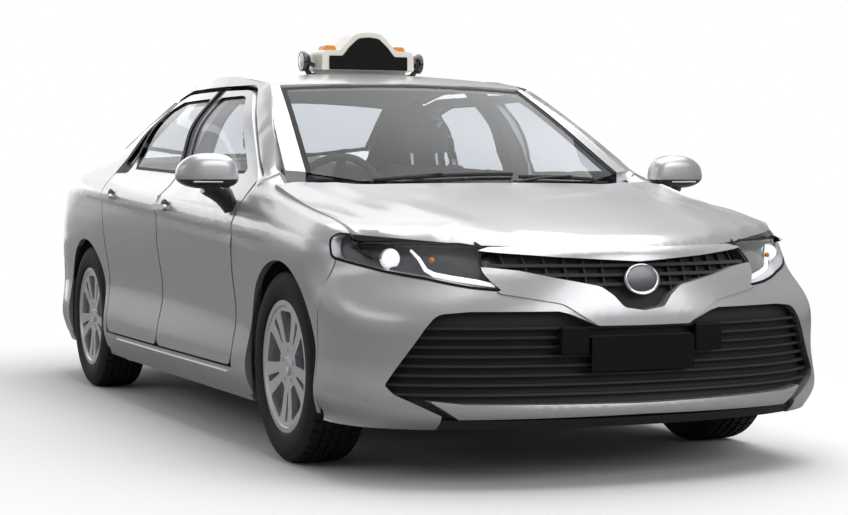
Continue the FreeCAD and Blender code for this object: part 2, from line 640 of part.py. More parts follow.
def build_front():
    """Bumper, grilles and headlamps."""
    nose = end_slab(True, 190, 830, FASCIA, 10)
    above = height_slab(hood_z, 2500, 1000, 1000, -300, PANEL_GAP, 15)
    room = hood_space()
    cover = nose.cut(above).cut(room)
    split = [(1850 + PANEL_GAP, 170, 0), (1850 + PANEL_GAP, 480, 60), (1900 + PANEL_GAP, 700, 0),
             (1900 + PANEL_GAP, 900, 0), (2600, 900, 0), (2600, 170, 0)]
    cover = cover.common(prism(split, "xz", -1000, 1000))
    wing = end_slab(True, 510, 730, FASCIA, 8, -WING_PROUD).common(prism(both(WING), "yz", 2000, 2600))
    cover = cover.fuse(wing)
    lamp_cut = prism(HEADLAMP, "xz", 300, 1000)
    cover = cover.cut(lamp_cut).cut(mirrored(lamp_cut))
    lamps = end_slab(True, 560, 830, 90, 8).cut(above).cut(room)
    lamp = single(lamps.common(prism(HEADLAMP, "xz", 300, 1000)))
    save_pair("headlamps", lamp)
    both_lamps = Part.makeCompound([lamp, mirrored(lamp)])
    upper = prism(both(UPPER_GRILLE), "yz", 2000, 2600)
    lower = prism(both(LOWER_GRILLE), "yz", 1900, 2600)
    cover = cover.cut(upper).cut(lower)
    # the lip under the grille and the strip over it are apart from the cover, like the real mouldings
    lip = end_slab(True, 200, 300, LOWER_PLATE - SEAT_GAP, 6).common(prism(both(LIP), "yz", 1900, 2600))
    mouldings = sorted(cover.Solids, key=lambda solid: solid.Volume)[-2:] + [single(lip)]
    save("front_bumper", *mouldings)
    cover = Part.makeCompound(mouldings)
    behind = end_slab(True, 530, 775, 8, 5, inset=40)
    grille = single(behind.common(upper))
    for z in (706, 676, 646):
        bar = end_slab(True, z - 5, z + 5, 36, 3, inset=10).common(upper)
        grille = grille.fuse(single(bar))
    for y in spread(-480, 480, 17):
        rib = end_slab(True, 560, 770, 30, 3, inset=16).common(box(1900, 2600, y - 3, y + 3, 0, 900)).common(upper)
        if abs(y) > 100:
            grille = grille.fuse(single(rib))
    upper_grille = single(grille.cut(both_lamps))
    save("upper_grille", upper_grille)
    behind = end_slab(True, 190, 575, 8, 7, inset=LOWER_PLATE)
    grille = single(behind.common(lower))
    tray = end_slab(True, 190, 222, LOWER_PLATE, 3, inset=12).common(box(1900, 2600, -648, 648, 0, 900))
    grille = grille.fuse(single(tray))
    for k in range(SLATS):
        z = 302 + 30 * k
        bar = end_slab(True, z - 4, z + 4, 32, 3, inset=20).common(lower)
        grille = grille.fuse(single(bar))
    grille = single(grille.cut(lip))
    save("lower_grille", grille)
    save("front_structure", front_structure((cover, grille, upper_grille, lamp, mirrored(lamp))))
    return grille


def front_structure(front):
    """Upper rails, radiator panel with two hood stops, and the beam behind the bumper cover."""
    beam = end_slab(True, 420, 500, 50, 3, inset=FASCIA - 14).common(box(1900, 2500, -720, 720, 0, 900))
    panel = box(2170, 2200, -620, 620, 300, 740).cut(box(2100, 2300, -380, 380, 330, 690))
    whole = panel
    under_hood = height_slab(hood_z, 2400, 1080, 800, -300, SKIN + SEAT_GAP, 27)
    for side in (1, -1):
        ys = sorted((480 * side, WELL_INNER * side))
        whole = whole.fuse(box(FIREWALL + 25, 2180, ys[0], ys[1], 640, 720))
        ys = sorted((430 * side, 500 * side))
        whole = whole.fuse(box(2190, 2345, ys[0], ys[1], 440, 490))
        stop = rod(V(2185, 450 * side, 700), V(2185, 450 * side, 860), 12)
        whole = whole.fuse(stop.cut(under_hood))
        ys = sorted((60 * side, 120 * side))
        whole = whole.fuse(box(2195, 2400, ys[0], ys[1], 726, 738))
    whole = whole.fuse(beam)
    for part in front:
        whole = whole.cut(part)
    return single(whole)


def build_rear():
    """Bumper cover; the luggage bay's back wall stands behind it."""
    cover = end_slab(False, 235, 738, FASCIA, 8)
    split = [(-1850 - PANEL_GAP, 170, 0), (-1850 - PANEL_GAP, 560, 40), (-1960, 745 - PANEL_GAP, 20),
             (-2600, 745 - PANEL_GAP, 0), (-2600, 170, 0)]
    cover = cover.common(prism(split, "xz", -1000, 1000))
    recess = box(-2600, TAIL + 14, -270, 270, 430, 560)
    cover = single(cover.cut(recess))
    save("rear_bumper", cover)
    return cover


def build_cabin(fixed, rear_bumper):
    """Floor, bulkheads, dash and seats; fixed holds the side pieces that the cowl seats against."""
    tunnel = 140.0
    floor = [(-FLOOR_HALF, 205, 0), (-FLOOR_HALF, 240, 0), (-tunnel - 30, 240, 30), (-tunnel + 20, 390, 40),
             (tunnel - 20, 390, 40), (tunnel + 30, 240, 30), (FLOOR_HALF, 240, 0), (FLOOR_HALF, 205, 0), (tunnel + 10, 205, 20),
             (tunnel - 40, 350, 30), (-tunnel + 40, 350, 30), (-tunnel - 10, 205, 20)]
    pan = prism(floor, "yz", -880, FIREWALL)
    save("floor_pan", pan)
    # rear floor: steps up under the rear seat and runs on as the luggage floor
    step = [(-880, 205, 0), (-880, 330, 60), (-1000, 470, 60), (-2330, 470, 0), (-2330, 435, 0), (-1020, 435, 40),
            (-915, 315, 40), (-915, 205, 0)]
    deck = prism(step, "xz", -770, 770)
    for well in (arch(REAR_AXLE, 404, 520, 900), arch(REAR_AXLE, 404, -900, -520)):
        deck = deck.cut(well)
    deck = deck.common(sharp_plan([(-2330, 0), (-2310, 420), (-2190, 620), (-1950, 770), (-850, 770), (-850, 0)],
                                  0, 600))
    wall = end_slab(False, 436, LID_FACE_LOW - SEAT_GAP, 30, 6, inset=FASCIA - 3)
    wall = wall.common(box(-2500, -1900, -LID_REAR_HALF, LID_REAR_HALF, 400, 800))
    notch = box(-925, -870, -110, -10, 200, 305)
    deck = single(single(deck).fuse(wall.cut(rear_bumper)).cut(notch))
    save("rear_floor", deck)
    cowl = [(FIREWALL, 205, 0), (FIREWALL, 940, 30), (1180, 945, 30), (1285, 925, 10), (1285, 900, 10),
            (1090, 880, 60), (FIREWALL + 25, 840, 60), (FIREWALL + 25, 205, 0)]
    cowl = prism(cowl, "xz", -FLOOR_HALF, FLOOR_HALF).cut(hood_space())
    for part in fixed:
        cowl = cowl.cut(part)
    save("firewall", single(cowl.cut(box(FIREWALL - 5, FIREWALL + 60, -100, 100, 100, 350))))
    shelf = [(-1075, 470, 0), (-1150, 985, 30), (-1560, 1040, 20), (-1620, 1070, 10), (-1630, 1045, 10),
             (-1580, 1015, 20), (-1185, 955, 30), (-1105, 470, 0)]
    wells = [arch(REAR_AXLE, REAR_WELL + LINER, 500, 900), arch(REAR_AXLE, REAR_WELL + LINER, -900, -500)]
    save("parcel_shelf", single(prism(shelf, "xz", -640, 640).cut(wells[0]).cut(wells[1])))
    dash = [(FIREWALL, 920, 10), (760, 930, 80), (700, 840, 60), (730, 690, 60), (860, 600, 40),
            (FIREWALL, 600, 10)]
    body = prism(dash, "xz", -725, 725)
    console = prism([(150, 390, 30), (150, 520, 60), (560, 540, 60), (735, 690, 40), (860, 600, 0), (860, 390, 10)],
                    "xz", -110, 110)
    shroud_start, shroud_end = column_point(70), column_point(330)
    shroud = rod(shroud_start, shroud_end, 42)
    bore = rod(column_point(0), column_point(200), SHAFT + SEAT_GAP)
    save("dashboard", single(body.fuse(console).fuse(shroud).cut(bore)))
    save("front_seats", seat(-SEAT_Y), seat(SEAT_Y))
    bench = [(-840, FLOOR_TOP, 10), (-560, FLOOR_TOP, 20), (-500, 380, 30), (-500, 470, 30), (-900, 440, 30),
             (-1060, 920, 20), (-1120, 935, 10), (-1060, 480, 10), (-990, 465, 10), (-880, 335, 0)]
    bench = prism(bench, "xz", -660, 660).cut(pan).cut(deck).cut(wells[0]).cut(wells[1])
    save("rear_seat", single(bench.cut(box(-900, 0, -tunnel - 30, tunnel + 30, 0, 391))))


SHAFT = 16.0                  # steering shaft


def column_point(along):
    """Point on the steering axis, measured forward from the wheel's face."""
    return V(600, -370, 905) + V(math.cos(math.radians(24)), 0, -math.sin(math.radians(24))) * along


SEAT_Y = 365.0


def seat(y):
    """Cushion, back and head restraint of one front seat, in one moulding."""
    cushion = [(-190, 400, 20), (-190, 470, 30), (310, 505, 40), (330, 440, 30), (290, 400, 15)]
    back = [(-200, 405, 30), (-70, 420, 30), (-180, 1080, 25), (-270, 1080, 25), (-250, 700, 200)]
    rest = [(-190, 1090, 25), (-215, 1230, 25), (-290, 1225, 25), (-280, 1090, 25)]
    parts = prism(cushion, "xz", y - 255, y + 255)
    parts = parts.fuse(prism(back, "xz", y - 245, y + 245))
    parts = parts.fuse(prism(rest, "xz", y - 130, y + 130))
    parts = parts.fuse(rod(V(-225, y - 60, 1060), V(-235, y - 60, 1120), 8))
    parts = parts.fuse(rod(V(-225, y + 60, 1060), V(-235, y + 60, 1120), 8))
    feet = prism([(-170, FLOOR_TOP, 0), (-170, 410, 0), (270, 410, 0), (270, FLOOR_TOP, 0)], "xz", y - 165, y + 165)
    return single(parts.fuse(feet))


def build_underbody():
    """Engine block, subframe, rear axle and exhaust."""
    block = [(1330, 280, 20), (1300, 560, 40), (1340, 780, 60), (1800, 780, 60), (1880, 620, 60), (1860, 280, 20)]
    engine = prism(block, "xz", -330, 380)
    save("engine_block", engine)
    cradle = [(FRONT_AXLE - 150, -430, 40), (FRONT_AXLE - 150, 430, 40), (FRONT_AXLE + 320, 400, 40),
              (FRONT_AXLE + 320, -400, 40)]
    hole = [(FRONT_AXLE - 60, -330, 40), (FRONT_AXLE - 60, 330, 40), (FRONT_AXLE + 240, 310, 40),
            (FRONT_AXLE + 240, -310, 40)]
    frame = prism(cradle, "xy", 215, 280).cut(prism(hole, "xy", 200, 320))
    for side in (1, -1):
        arm = prism([(FRONT_AXLE - 90, 400 * side, 10), (FRONT_AXLE - 30, 400 * side, 0),
                     (FRONT_AXLE + 25, 645 * side, 15), (FRONT_AXLE - 25, 645 * side, 15)][::side], "xy", 225, 255)
        ys = sorted((400 * side, 470 * side))
        frame = frame.fuse(arm).fuse(box(FIREWALL + 25, FRONT_AXLE - 120, ys[0], ys[1], 215, 280))
    save("front_subframe", single(frame))
    beam = rod(V(REAR_AXLE + 90, -560, 300), V(REAR_AXLE + 90, 560, 300), 36)
    for side in (1, -1):
        y = 600 * side
        upright = prism([(REAR_AXLE - 60, 250, 30), (REAR_AXLE - 60, 400, 50), (REAR_AXLE + 60, 400, 50),
                         (REAR_AXLE + 120, 300, 30), (REAR_AXLE + 120, 250, 30)], "xz",
                        min(y, y + 75 * side), max(y, y + 75 * side))
        link = prism([(REAR_AXLE + 60, 270, 20), (REAR_AXLE + 60, 330, 20), (-915, 300, 0), (-915, 250, 0)], "xz",
                     min(560 * side, 620 * side), max(560 * side, 620 * side))
        spindle = rod(V(REAR_AXLE, 660 * side, TYRE_RADIUS), V(REAR_AXLE, 790 * side, TYRE_RADIUS), SPINDLE)
        strut = rod(V(REAR_AXLE, 612 * side, 380), V(REAR_AXLE, 612 * side, 736), 30)
        beam = beam.fuse(upright).fuse(link).fuse(spindle).fuse(strut)
    save("rear_axle", single(beam))
    pipe = rod(V(1200, -60, 255), V(-900, -60, 255), 28)
    for x in (500, -500):
        pipe = pipe.fuse(rod(V(x, -60, 270), V(x, -60, 350), 7))
    for x in (-1790, -2030):
        pipe = pipe.fuse(rod(V(x, -180, 400), V(x, -180, 435), 7))
    silencer = prism([(-1740, -560, 60), (-1740, 200, 60), (-2080, 200, 60), (-2080, -560, 60)], "xy", 250, 405)
    for start, end in (((-890, 255), (-1010, 226)), ((-1000, 226), (-1500, 226)), ((-1490, 226), (-1760, 290))):
        pipe = pipe.fuse(rod(V(start[0], -60, start[1]), V(end[0], -60, end[1]), 28))
    pipe = pipe.fuse(silencer)
    pipe = pipe.fuse(rod(V(-2060, -480, 290), V(-2200, -480, 200), 28))
    pipe = pipe.fuse(rod(V(-2200, -480, 200), V(TAIL + 50, -480, 196), 28))
    save("exhaust", single(pipe))


# ---- wheels ----------------------------------------------------------------------------------------------------
SPINDLE = 22.0
HUB_BORE = SPINDLE + SEAT_GAP
HUB_FACE = 850.0
SPOKES = 5


def turned(points):
    """Ring about the wheel's axle from an outline of (outboard, radius) corners."""
    rows = [V(0, a, r) for a, r in points]
    wire = Part.makePolygon(rows + [rows[0]])
    return Part.Face(wire).revolve(V(0, 0, 0), V(0, 1, 0), 360)


def tyre():
    half = TYRE_WIDTH / 2
    r = TYRE_RADIUS
    bead = 87.7
    rows = [(-bead, RIM_RADIUS + 16), (-100, RIM_RADIUS + 22), (-half, 264), (-half, 288), (-96, 320), (-78, r - 3),
            (-40, r), (40, r), (78, r - 3), (96, 320), (half, 288), (half, 264), (100, RIM_RADIUS + 22),
            (bead, RIM_RADIUS + 16), (bead, RIM_RADIUS + SEAT_GAP), (-bead, RIM_RADIUS + SEAT_GAP)]
    return turned(rows)


def rim():
    rows = [(-96, RIM_RADIUS - 14), (-96, RIM_RADIUS + 12), (-90, RIM_RADIUS + 12), (-88, RIM_RADIUS), (88, RIM_RADIUS),
            (90, RIM_RADIUS + 14), (97, RIM_RADIUS + 14), (97, RIM_RADIUS - 4), (80, RIM_RADIUS - 14)]
    barrel = turned(rows)
    dish = turned([(68, 0.01), (60, 40), (56, 75), (62, 130), (72, RIM_RADIUS - 10), (92, RIM_RADIUS - 8),
                   (86, 150), (82, 60), (78, 0.01)])
    for k in range(SPOKES):
        turn = 360.0 / SPOKES * k
        slot = prism([(95, -4, 3), (RIM_RADIUS - 24, -13, 8), (RIM_RADIUS - 24, 13, 8), (95, 4, 3)], "xz", -100, 110)
        gap = prism([(82, -18, 8), (190, -62, 14), (192, 62, 14), (82, 18, 8)], "xz", -100, 110)
        slot.rotate(V(0, 0, 0), V(0, 1, 0), turn + 90)
        gap.rotate(V(0, 0, 0), V(0, 1, 0), turn + 90 + 180.0 / SPOKES)
        dish = dish.cut(slot).cut(gap)
    hub = turned([(-20, 30), (-20, 70), (66, 70), (66, 0.01), (20, 0.01), (20, HUB_BORE), (-20, HUB_BORE)])
    disc = turned([(-50, HUB_BORE), (-50, 145), (-28, 145), (-28, 70), (-20, 70), (-20, HUB_BORE)])
    body = single(barrel.fuse(dish).fuse(hub).fuse(disc))
    return body


def knuckle():
    """Left front upright: web, stub shaft and the strut that it steers about."""
    y = 660
    outline = [(-18, 225, 8), (-24, 258, 20), (-45, 300, 30), (-45, 400, 30), (-28, 500, 15), (28, 500, 15),
               (55, 400, 30), (50, 300, 30), (24, 258, 20), (18, 225, 8)]
    web = prism(outline, "xz", y, y + 36)
    shaft = rod(V(0, y + 30, TYRE_RADIUS), V(0, 800, TYRE_RADIUS), SPINDLE)
    lean = V(0, STRUT_TOP[0] - STRUT_FOOT[0], STRUT_TOP[1] - STRUT_FOOT[1])
    foot = V(0, STRUT_FOOT[0], STRUT_FOOT[1])
    strut = rod(foot + lean * 0.52, foot + lean, 24)
    return single(web.fuse(shaft).fuse(strut)).translated(V(FRONT_AXLE, 0, 0))


def build_wheels():
    wheel_tyre, wheel_rim = tyre(), rim()
    for end, x in (("front", FRONT_AXLE), ("rear", REAR_AXLE)):
        for side, sign in (("left", 1), ("right", -1)):
            for name, shape in (("tyre", wheel_tyre), ("rim", wheel_rim)):
                placed = shape if sign > 0 else mirrored(shape)
                save(end + "_" + side + "_" + name, placed.translated(V(x, sign * HUB, TYRE_RADIUS)))
    save("front_left_knuckle", knuckle())
    save("front_right_knuckle", mirrored(knuckle()))


def build_steering_wheel():
    ring = Part.makeTorus(178, 15)
    for turn in (0, 180, 270):
        spoke = box(30, 175, -16, 16, -8, 8)
        spoke.rotate(V(0, 0, 0), V(0, 0, 1), turn)
        ring = ring.fuse(spoke)
    ring = ring.fuse(Part.makeCylinder(62, 40, V(0, 0, -18)))
    ring = ring.fuse(Part.makeCylinder(SHAFT, 130, V(0, 0, 20)))
    ring.rotate(V(0, 0, 0), V(0, 0, 1), -90)
    # the ring's own axis turns to the column's
    ring.rotate(V(0, 0, 0), V(0, 1, 0), 90 + 24)
    save("steering_wheel", single(ring.translated(column_point(0))))


# ---- roof sign ----------------------------------------------------------------------------------------------------
SIGN_X = -90.0
SIGN_DEPTH = 210.0


SIGN_SHELL = [(0, ROOF_HEIGHT + 3), (214, ROOF_HEIGHT + 3, 6), (211, 1532, 24), (130, 1534, 30), (104, 1562, 40),
              (62, 1606, 50), (0, 1613)]
SIGN_PANEL = [(0, 1450), (178, 1450, 4), (178, 1508, 4), (118, 1508, 20), (88, 1546, 60), (46, 1584, 40), (0, 1589)]
LAMP_RADIUS = 43.0
BEACON = (158, 30, 22)        # place from the middle, half width and height of the lights on the sign's shoulders


def build_sign():
    """Domed housing with a flat blank panel, two round side lamps and a light on each shoulder."""
    foot = ROOF_HEIGHT + 3
    wires = []
    for x, share in ((-0.5, 0.90), (-0.32, 0.985), (0.32, 1.0), (0.5, 0.985)):
        wire = rounded([(p[0] * share, foot + (p[1] - foot) * share) + tuple(p[2:]) for p in both(SIGN_SHELL)])
        wire.transformShape(PLANES["yz"])
        wire.translate(V(SIGN_X + x * SIGN_DEPTH, 0, 0))
        wires.append(wire)
    housing = Part.makeLoft(wires, True, False)
    feet = box(SIGN_X - 60, SIGN_X + 60, -190, 190, ROOF_HEIGHT - 30, foot + 10)
    roof = rib_slab(RIBS["roof"], 600, SKIN)
    housing = single(housing.fuse(feet).cut(roof))
    save("sign_housing", housing)
    front = SIGN_X + SIGN_DEPTH / 2
    save("sign_face", prism(both(SIGN_PANEL), "yz", front + SEAT_GAP, front + 6))
    lamps = []
    beacons = []
    for side in (1, -1):
        centre = V(SIGN_X + 20, 262 * side, 1486)
        out = V(0, side, 0)
        cup = Part.makeCone(LAMP_RADIUS - 12, LAMP_RADIUS, 20, centre - out * 20, out)
        cup = cup.fuse(Part.makeCylinder(LAMP_RADIUS, 12, centre, out))
        stalk = rod(centre - out * 8, V(centre.x, 200 * side, 1462), 9)
        lamps.append(single(cup.fuse(stalk).cut(housing).cut(roof)))
        place, half, height = BEACON
        rows = [(-half, 1500, 0), (-half, 1536, 0), (-half + 8, 1536 + height - 4, 8), (half - 8, 1536 + height - 4, 8),
                (half, 1536, 0), (half, 1500, 0)]
        beacon = prism([(a + place * side, b, r) for a, b, r in rows], "yz", SIGN_X - 10, SIGN_X + 60)
        beacons.append(single(beacon.cut(housing)))
    save("sign_lamps", *lamps)
    save("sign_beacons", *beacons)


# ---- moving panels -------------------------------------------------------------------------------------------------
def build_doors():
    front = door(FRONT_DOOR, [FRONT_WINDOW], 1000, -90)
    rear = door(REAR_DOOR, [REAR_WINDOW, QUARTER_WINDOW], -50, -1060)
    front_handle = handle(70)
    rear_handle = handle(-830)
    panes = {
        "front": [pane(FRONT_WINDOW, 1000, -90)],
        "rear": [pane(REAR_WINDOW, -50, -1060), pane(QUARTER_WINDOW, -700, -1060)],
    }
    leaves = []
    for name, leaf, grip in (("front", front, front_handle), ("rear", rear, rear_handle)):
        leaf = single(leaf.fuse(grip))
        leaves.append(leaf)
        save("door_" + name + "_left", leaf)
        save("door_" + name + "_right", mirrored(leaf))
        save("door_glass_" + name + "_left", *panes[name])
        save("door_glass_" + name + "_right", *[mirrored(p) for p in panes[name]])
    return leaves


def handle(x):
    """Pull handle over the door skin, standing off on two feet."""
    z = 868 if x > -400 else 906
    y = side_y(x, z)
    bar = prism([(x - 95, z - 12, 10), (x - 95, z + 14, 12), (x + 85, z + 12, 12), (x + 85, z - 8, 8)], "xz",
                y + 16, y + 30)
    for foot in (x - 80, x + 70):
        bar = bar.fuse(box(foot - 12, foot + 12, y - 14, y + 20, z - 8, z + 9))
    return bar


def build_mirrors(front_door):
    wires = []
    for x, half, low, high in ((968, 52, 982, 1030), (955, 82, 964, 1050), (925, 106, 950, 1068), (890, 112, 944, 1075),
                               (852, 113, 944, 1077)):
        tall = high - low
        outline = [(-half, low, 0.30 * tall), (-half + 6, high, 0.34 * tall), (half - 16, high - 6, 0.48 * tall),
                   (half, low + 0.25 * tall, 0.30 * tall), (half - 14, low, 0.16 * tall)]
        wire = rounded(outline)
        wire.transformShape(PLANES["yz"])
        wire.translate(V(x, 990, 0))
        wires.append(wire)
    head = Part.makeLoft(wires, True, False)
    foot_y = side_y(900, 930)
    foot = prism([(868, 888, 6), (868, 950, 14), (940, 950, 14), (950, 888, 6)], "xz", foot_y - 30, 930)
    mirror = single(head.fuse(foot).cut(front_door))
    save("mirror_left", mirror)
    save("mirror_right", mirrored(mirror))


def build_hood_and_lid():
    skin = height_slab(hood_z, 2400, 1080, 800, 0, SKIN, 27)
    save("hood", single(skin.common(plan(hood_plan(PANEL_GAP / 2), 0, 1700))))
    top = height_slab(lid_z, LID_FRONT + 20, -2400, 720, 0, SKIN)
    top = top.common(sharp_plan(lid_outline(0), 0, 1700))
    back = end_slab(False, LID_FACE_LOW, 1060, FASCIA + 14, 6)
    back = back.common(box(-2600, -2000, -LID_REAR_HALF, LID_REAR_HALF, 700, 1200))
    save("trunk_lid", single(top.fuse(back)))


def build_plates(lower_grille):
    """Blank front and rear plates, the front one on a backing plate that seats on the grille."""
    front = NOSE - 24
    rear = TAIL + 14
    backing = box(front - 50, front + 3, -170, 170, 380, 474).cut(lower_grille)
    save("number_plates",
         single(box(front + 3, front + 9, -186, 186, 372, 482).fuse(single(backing))),
         box(rear - 8, rear, -186, 186, 440, 550))


os.makedirs("parts", exist_ok=True)
leaves = build_doors()
side_pieces = build_body(leaves)
grille = build_front()
rear_cover = build_rear()
build_cabin(side_pieces, rear_cover)
build_underbody()
build_wheels()
build_steering_wheel()
build_sign()
build_mirrors(leaves[0])
build_hood_and_lid()
build_plates(grille)
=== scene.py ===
"""Looks of a taxi cab: paint, glass, lamps, tyres, trim, seats and roof sign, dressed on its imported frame."""

import json
import logging
import math
from dataclasses import dataclass
from enum import Enum
from typing import Callable, Optional, Sequence, Union

import bmesh
import bpy
from mathutils import Matrix, Vector
from mathutils.bvhtree import BVHTree


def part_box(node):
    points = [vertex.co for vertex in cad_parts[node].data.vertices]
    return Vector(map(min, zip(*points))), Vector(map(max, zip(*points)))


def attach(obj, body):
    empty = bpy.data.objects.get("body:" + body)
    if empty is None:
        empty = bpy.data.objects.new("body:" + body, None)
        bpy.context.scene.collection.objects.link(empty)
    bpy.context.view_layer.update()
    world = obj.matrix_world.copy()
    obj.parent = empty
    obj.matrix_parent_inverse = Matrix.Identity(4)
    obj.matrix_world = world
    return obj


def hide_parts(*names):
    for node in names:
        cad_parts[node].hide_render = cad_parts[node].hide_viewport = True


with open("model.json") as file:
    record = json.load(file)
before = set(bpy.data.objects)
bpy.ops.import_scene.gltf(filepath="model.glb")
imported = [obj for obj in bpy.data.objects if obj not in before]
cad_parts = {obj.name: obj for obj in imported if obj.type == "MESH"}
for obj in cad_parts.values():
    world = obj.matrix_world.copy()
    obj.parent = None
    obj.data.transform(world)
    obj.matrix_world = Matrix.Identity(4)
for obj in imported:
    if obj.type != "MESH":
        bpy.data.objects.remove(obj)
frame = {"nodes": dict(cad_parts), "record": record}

logging.basicConfig(level=logging.INFO, format="%(message)s")
LOG = logging.getLogger("taxi")

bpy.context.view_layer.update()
Colour = tuple[float, float, float]
Point = tuple[float, float, float]
Rows = tuple[tuple[float, float], ...]
Node = bpy.types.Node
Tree = bpy.types.ShaderNodeTree
Socket = bpy.types.NodeSocket
Inputs = dict[Union[str, int], object]

WHEELS = {
    "front_left": ("wheel_front_left", 1),
    "front_right": ("wheel_front_right", -1),
    "rear_left": ("wheel_rear_left", 1),
    "rear_right": ("wheel_rear_right", -1),
}
SIDES = ((1, "left"), (-1, "right"))
DUST_COLOUR = (0.24, 0.22, 0.2, 1)
RELIEF_HEIGHT = 0.3


class Relief(Enum):
    """The shader group that gives a finish its fine surface relief."""

    GRAIN = "relief"
    WEAVE = "weave"


# --------------------------------------------------------------------------------------------------------
# Shader helpers and the node groups shared by the finishes
# --------------------------------------------------------------------------------------------------------


def fill(node: Node, given: Inputs) -> Node:
    """Sets or links input sockets of a shader node.

    Args:
        node: The node.
        given: For each input socket its value, or the output socket it is linked from.

    Returns:
        The node itself.
    """
    for socket, value in given.items():
        if isinstance(value, Socket):
            node.id_data.links.new(value, node.inputs[socket])
        else:
            node.inputs[socket].default_value = value
    return node


def add_node(tree: Tree, kind: str, given: Optional[Inputs] = None, **settings) -> Node:
    """Adds a shader node.

    Args:
        tree: The node tree.
        kind: The node's type.
        given: For each input socket its value, or the output socket it is linked from.
        settings: The node's own settings, made before its sockets are filled.

    Returns:
        The node.
    """
    made = tree.nodes.new(kind)
    for name, value in settings.items():
        setattr(made, name, value)
    return fill(made, given or {})


def calculate(tree: Tree, operation: str, *values, **settings) -> Socket:
    """Adds a Math node for values or output sockets and returns its output socket."""
    made = add_node(tree, "ShaderNodeMath", dict(enumerate(values)), operation=operation, **settings)
    return made.outputs[0]


class Effects:
    """Shader node groups, each built once and placed in every finish that uses it."""

    _made: dict[str, Tree] = {}

    @classmethod
    def get(cls, name: str) -> Tree:
        """Returns the named group, building it on first use.

        Args:
            name: "mottle", "relief", "weave" or "road_dust".

        Returns:
            The shader node group.
        """
        if name not in cls._made:
            cls._made[name] = getattr(cls, "_" + name)()
        return cls._made[name]

    @staticmethod
    def _start(name: str, inputs: Sequence[tuple[str, str, object]], outputs: Sequence[tuple[str, str]]):
        """Makes an empty group with its sockets.

        Args:
            name: Group name.
            inputs: Socket name, kind and default of each input.
            outputs: Socket name and kind of each output.

        Returns:
            The group, the sockets that bring its inputs, and its output node.
        """
        group = bpy.data.node_groups.new(name, "ShaderNodeTree")
        for label, kind, default in inputs:
            socket = group.interface.new_socket(label, in_out="INPUT", socket_type=kind)
            if default is not None:
                socket.default_value = default
        for label, kind in outputs:
            group.interface.new_socket(label, in_out="OUTPUT", socket_type=kind)
        return group, group.nodes.new("NodeGroupInput").outputs, group.nodes.new("NodeGroupOutput")

    @classmethod
    def _mottle(cls) -> Tree:
        """Brightness that drifts by a few percent over the surface, with roughness to match."""
        group, given, out = cls._start(
            "mottle",
            [("Vector", "NodeSocketVector", None), ("Colour", "NodeSocketColor", (0.5, 0.5, 0.5, 1)),
             ("Roughness", "NodeSocketFloat", 0.5), ("Scale", "NodeSocketFloat", 3.0),
             ("Amount", "NodeSocketFloat", 0.05)],
            [("Colour", "NodeSocketColor"), ("Roughness", "NodeSocketFloat")],
        )
        noise = add_node(group, "ShaderNodeTexNoise",
                         {"Detail": 5.0, "Vector": given["Vector"], "Scale": given["Scale"]})
        centred = calculate(group, "SUBTRACT", noise.outputs["Fac"], 0.5)
        swing = calculate(group, "MULTIPLY", centred, given["Amount"])
        factor = calculate(group, "MULTIPLY_ADD", swing, 2.0, 1.0)
        scaled = add_node(group, "ShaderNodeVectorMath", {0: given["Colour"], "Scale": factor},
                          operation="SCALE")
        rough = calculate(group, "ADD", given["Roughness"], swing, use_clamp=True)
        fill(out, {"Colour": scaled.outputs[0], "Roughness": rough})
        return group

    @classmethod
    def _relief(cls) -> Tree:
        """Fine grain, cells and noise together, as a height."""
        group, given, out = cls._start(
            "relief",
            [("Vector", "NodeSocketVector", None), ("Scale", "NodeSocketFloat", 900.0)],
            [("Height", "NodeSocketFloat")],
        )
        where = {"Vector": given["Vector"], "Scale": given["Scale"]}
        cells = add_node(group, "ShaderNodeTexVoronoi", where)
        noise = add_node(group, "ShaderNodeTexNoise", {"Detail": 3.0, **where})
        fill(out, {"Height": calculate(group, "ADD", cells.outputs["Distance"], noise.outputs["Fac"])})
        return group

    @classmethod
    def _weave(cls) -> Tree:
        """Bands across each of the three directions, added up as a height."""
        group, given, out = cls._start(
            "weave",
            [("Vector", "NodeSocketVector", None), ("Scale", "NodeSocketFloat", 300.0)],
            [("Height", "NodeSocketFloat")],
        )
        where = {"Distortion": 1.0, "Vector": given["Vector"], "Scale": given["Scale"]}
        first, second, third = (
            add_node(group, "ShaderNodeTexWave", where, wave_type="BANDS", bands_direction=way).outputs["Fac"]
            for way in ("X", "Y", "Z"))
        fill(out, {"Height": calculate(group, "ADD", calculate(group, "ADD", first, second), third)})
        return group

    @classmethod
    def _road_dust(cls) -> Tree:
        """A mask that grows towards the ground, broken up by noise."""
        group, given, out = cls._start(
            "road_dust",
            [("Vector", "NodeSocketVector", None), ("Top", "NodeSocketFloat", 0.45)],
            [("Mask", "NodeSocketFloat")],
        )
        height = add_node(group, "ShaderNodeSeparateXYZ", {0: given["Vector"]}).outputs["Z"]
        span = add_node(group, "ShaderNodeMapRange", {"From Min": 0.0, "To Min": 1.0, "To Max": 0.0,
                                                      "Value": height, "From Max": given["Top"]})
        noise = add_node(group, "ShaderNodeTexNoise",
                         {"Scale": 9.0, "Detail": 6.0, "Vector": given["Vector"]})
        fill(out, {"Mask": calculate(group, "MULTIPLY", span.outputs[0], noise.outputs["Fac"])})
        return group


# --------------------------------------------------------------------------------------------------------
# Finishes
# --------------------------------------------------------------------------------------------------------


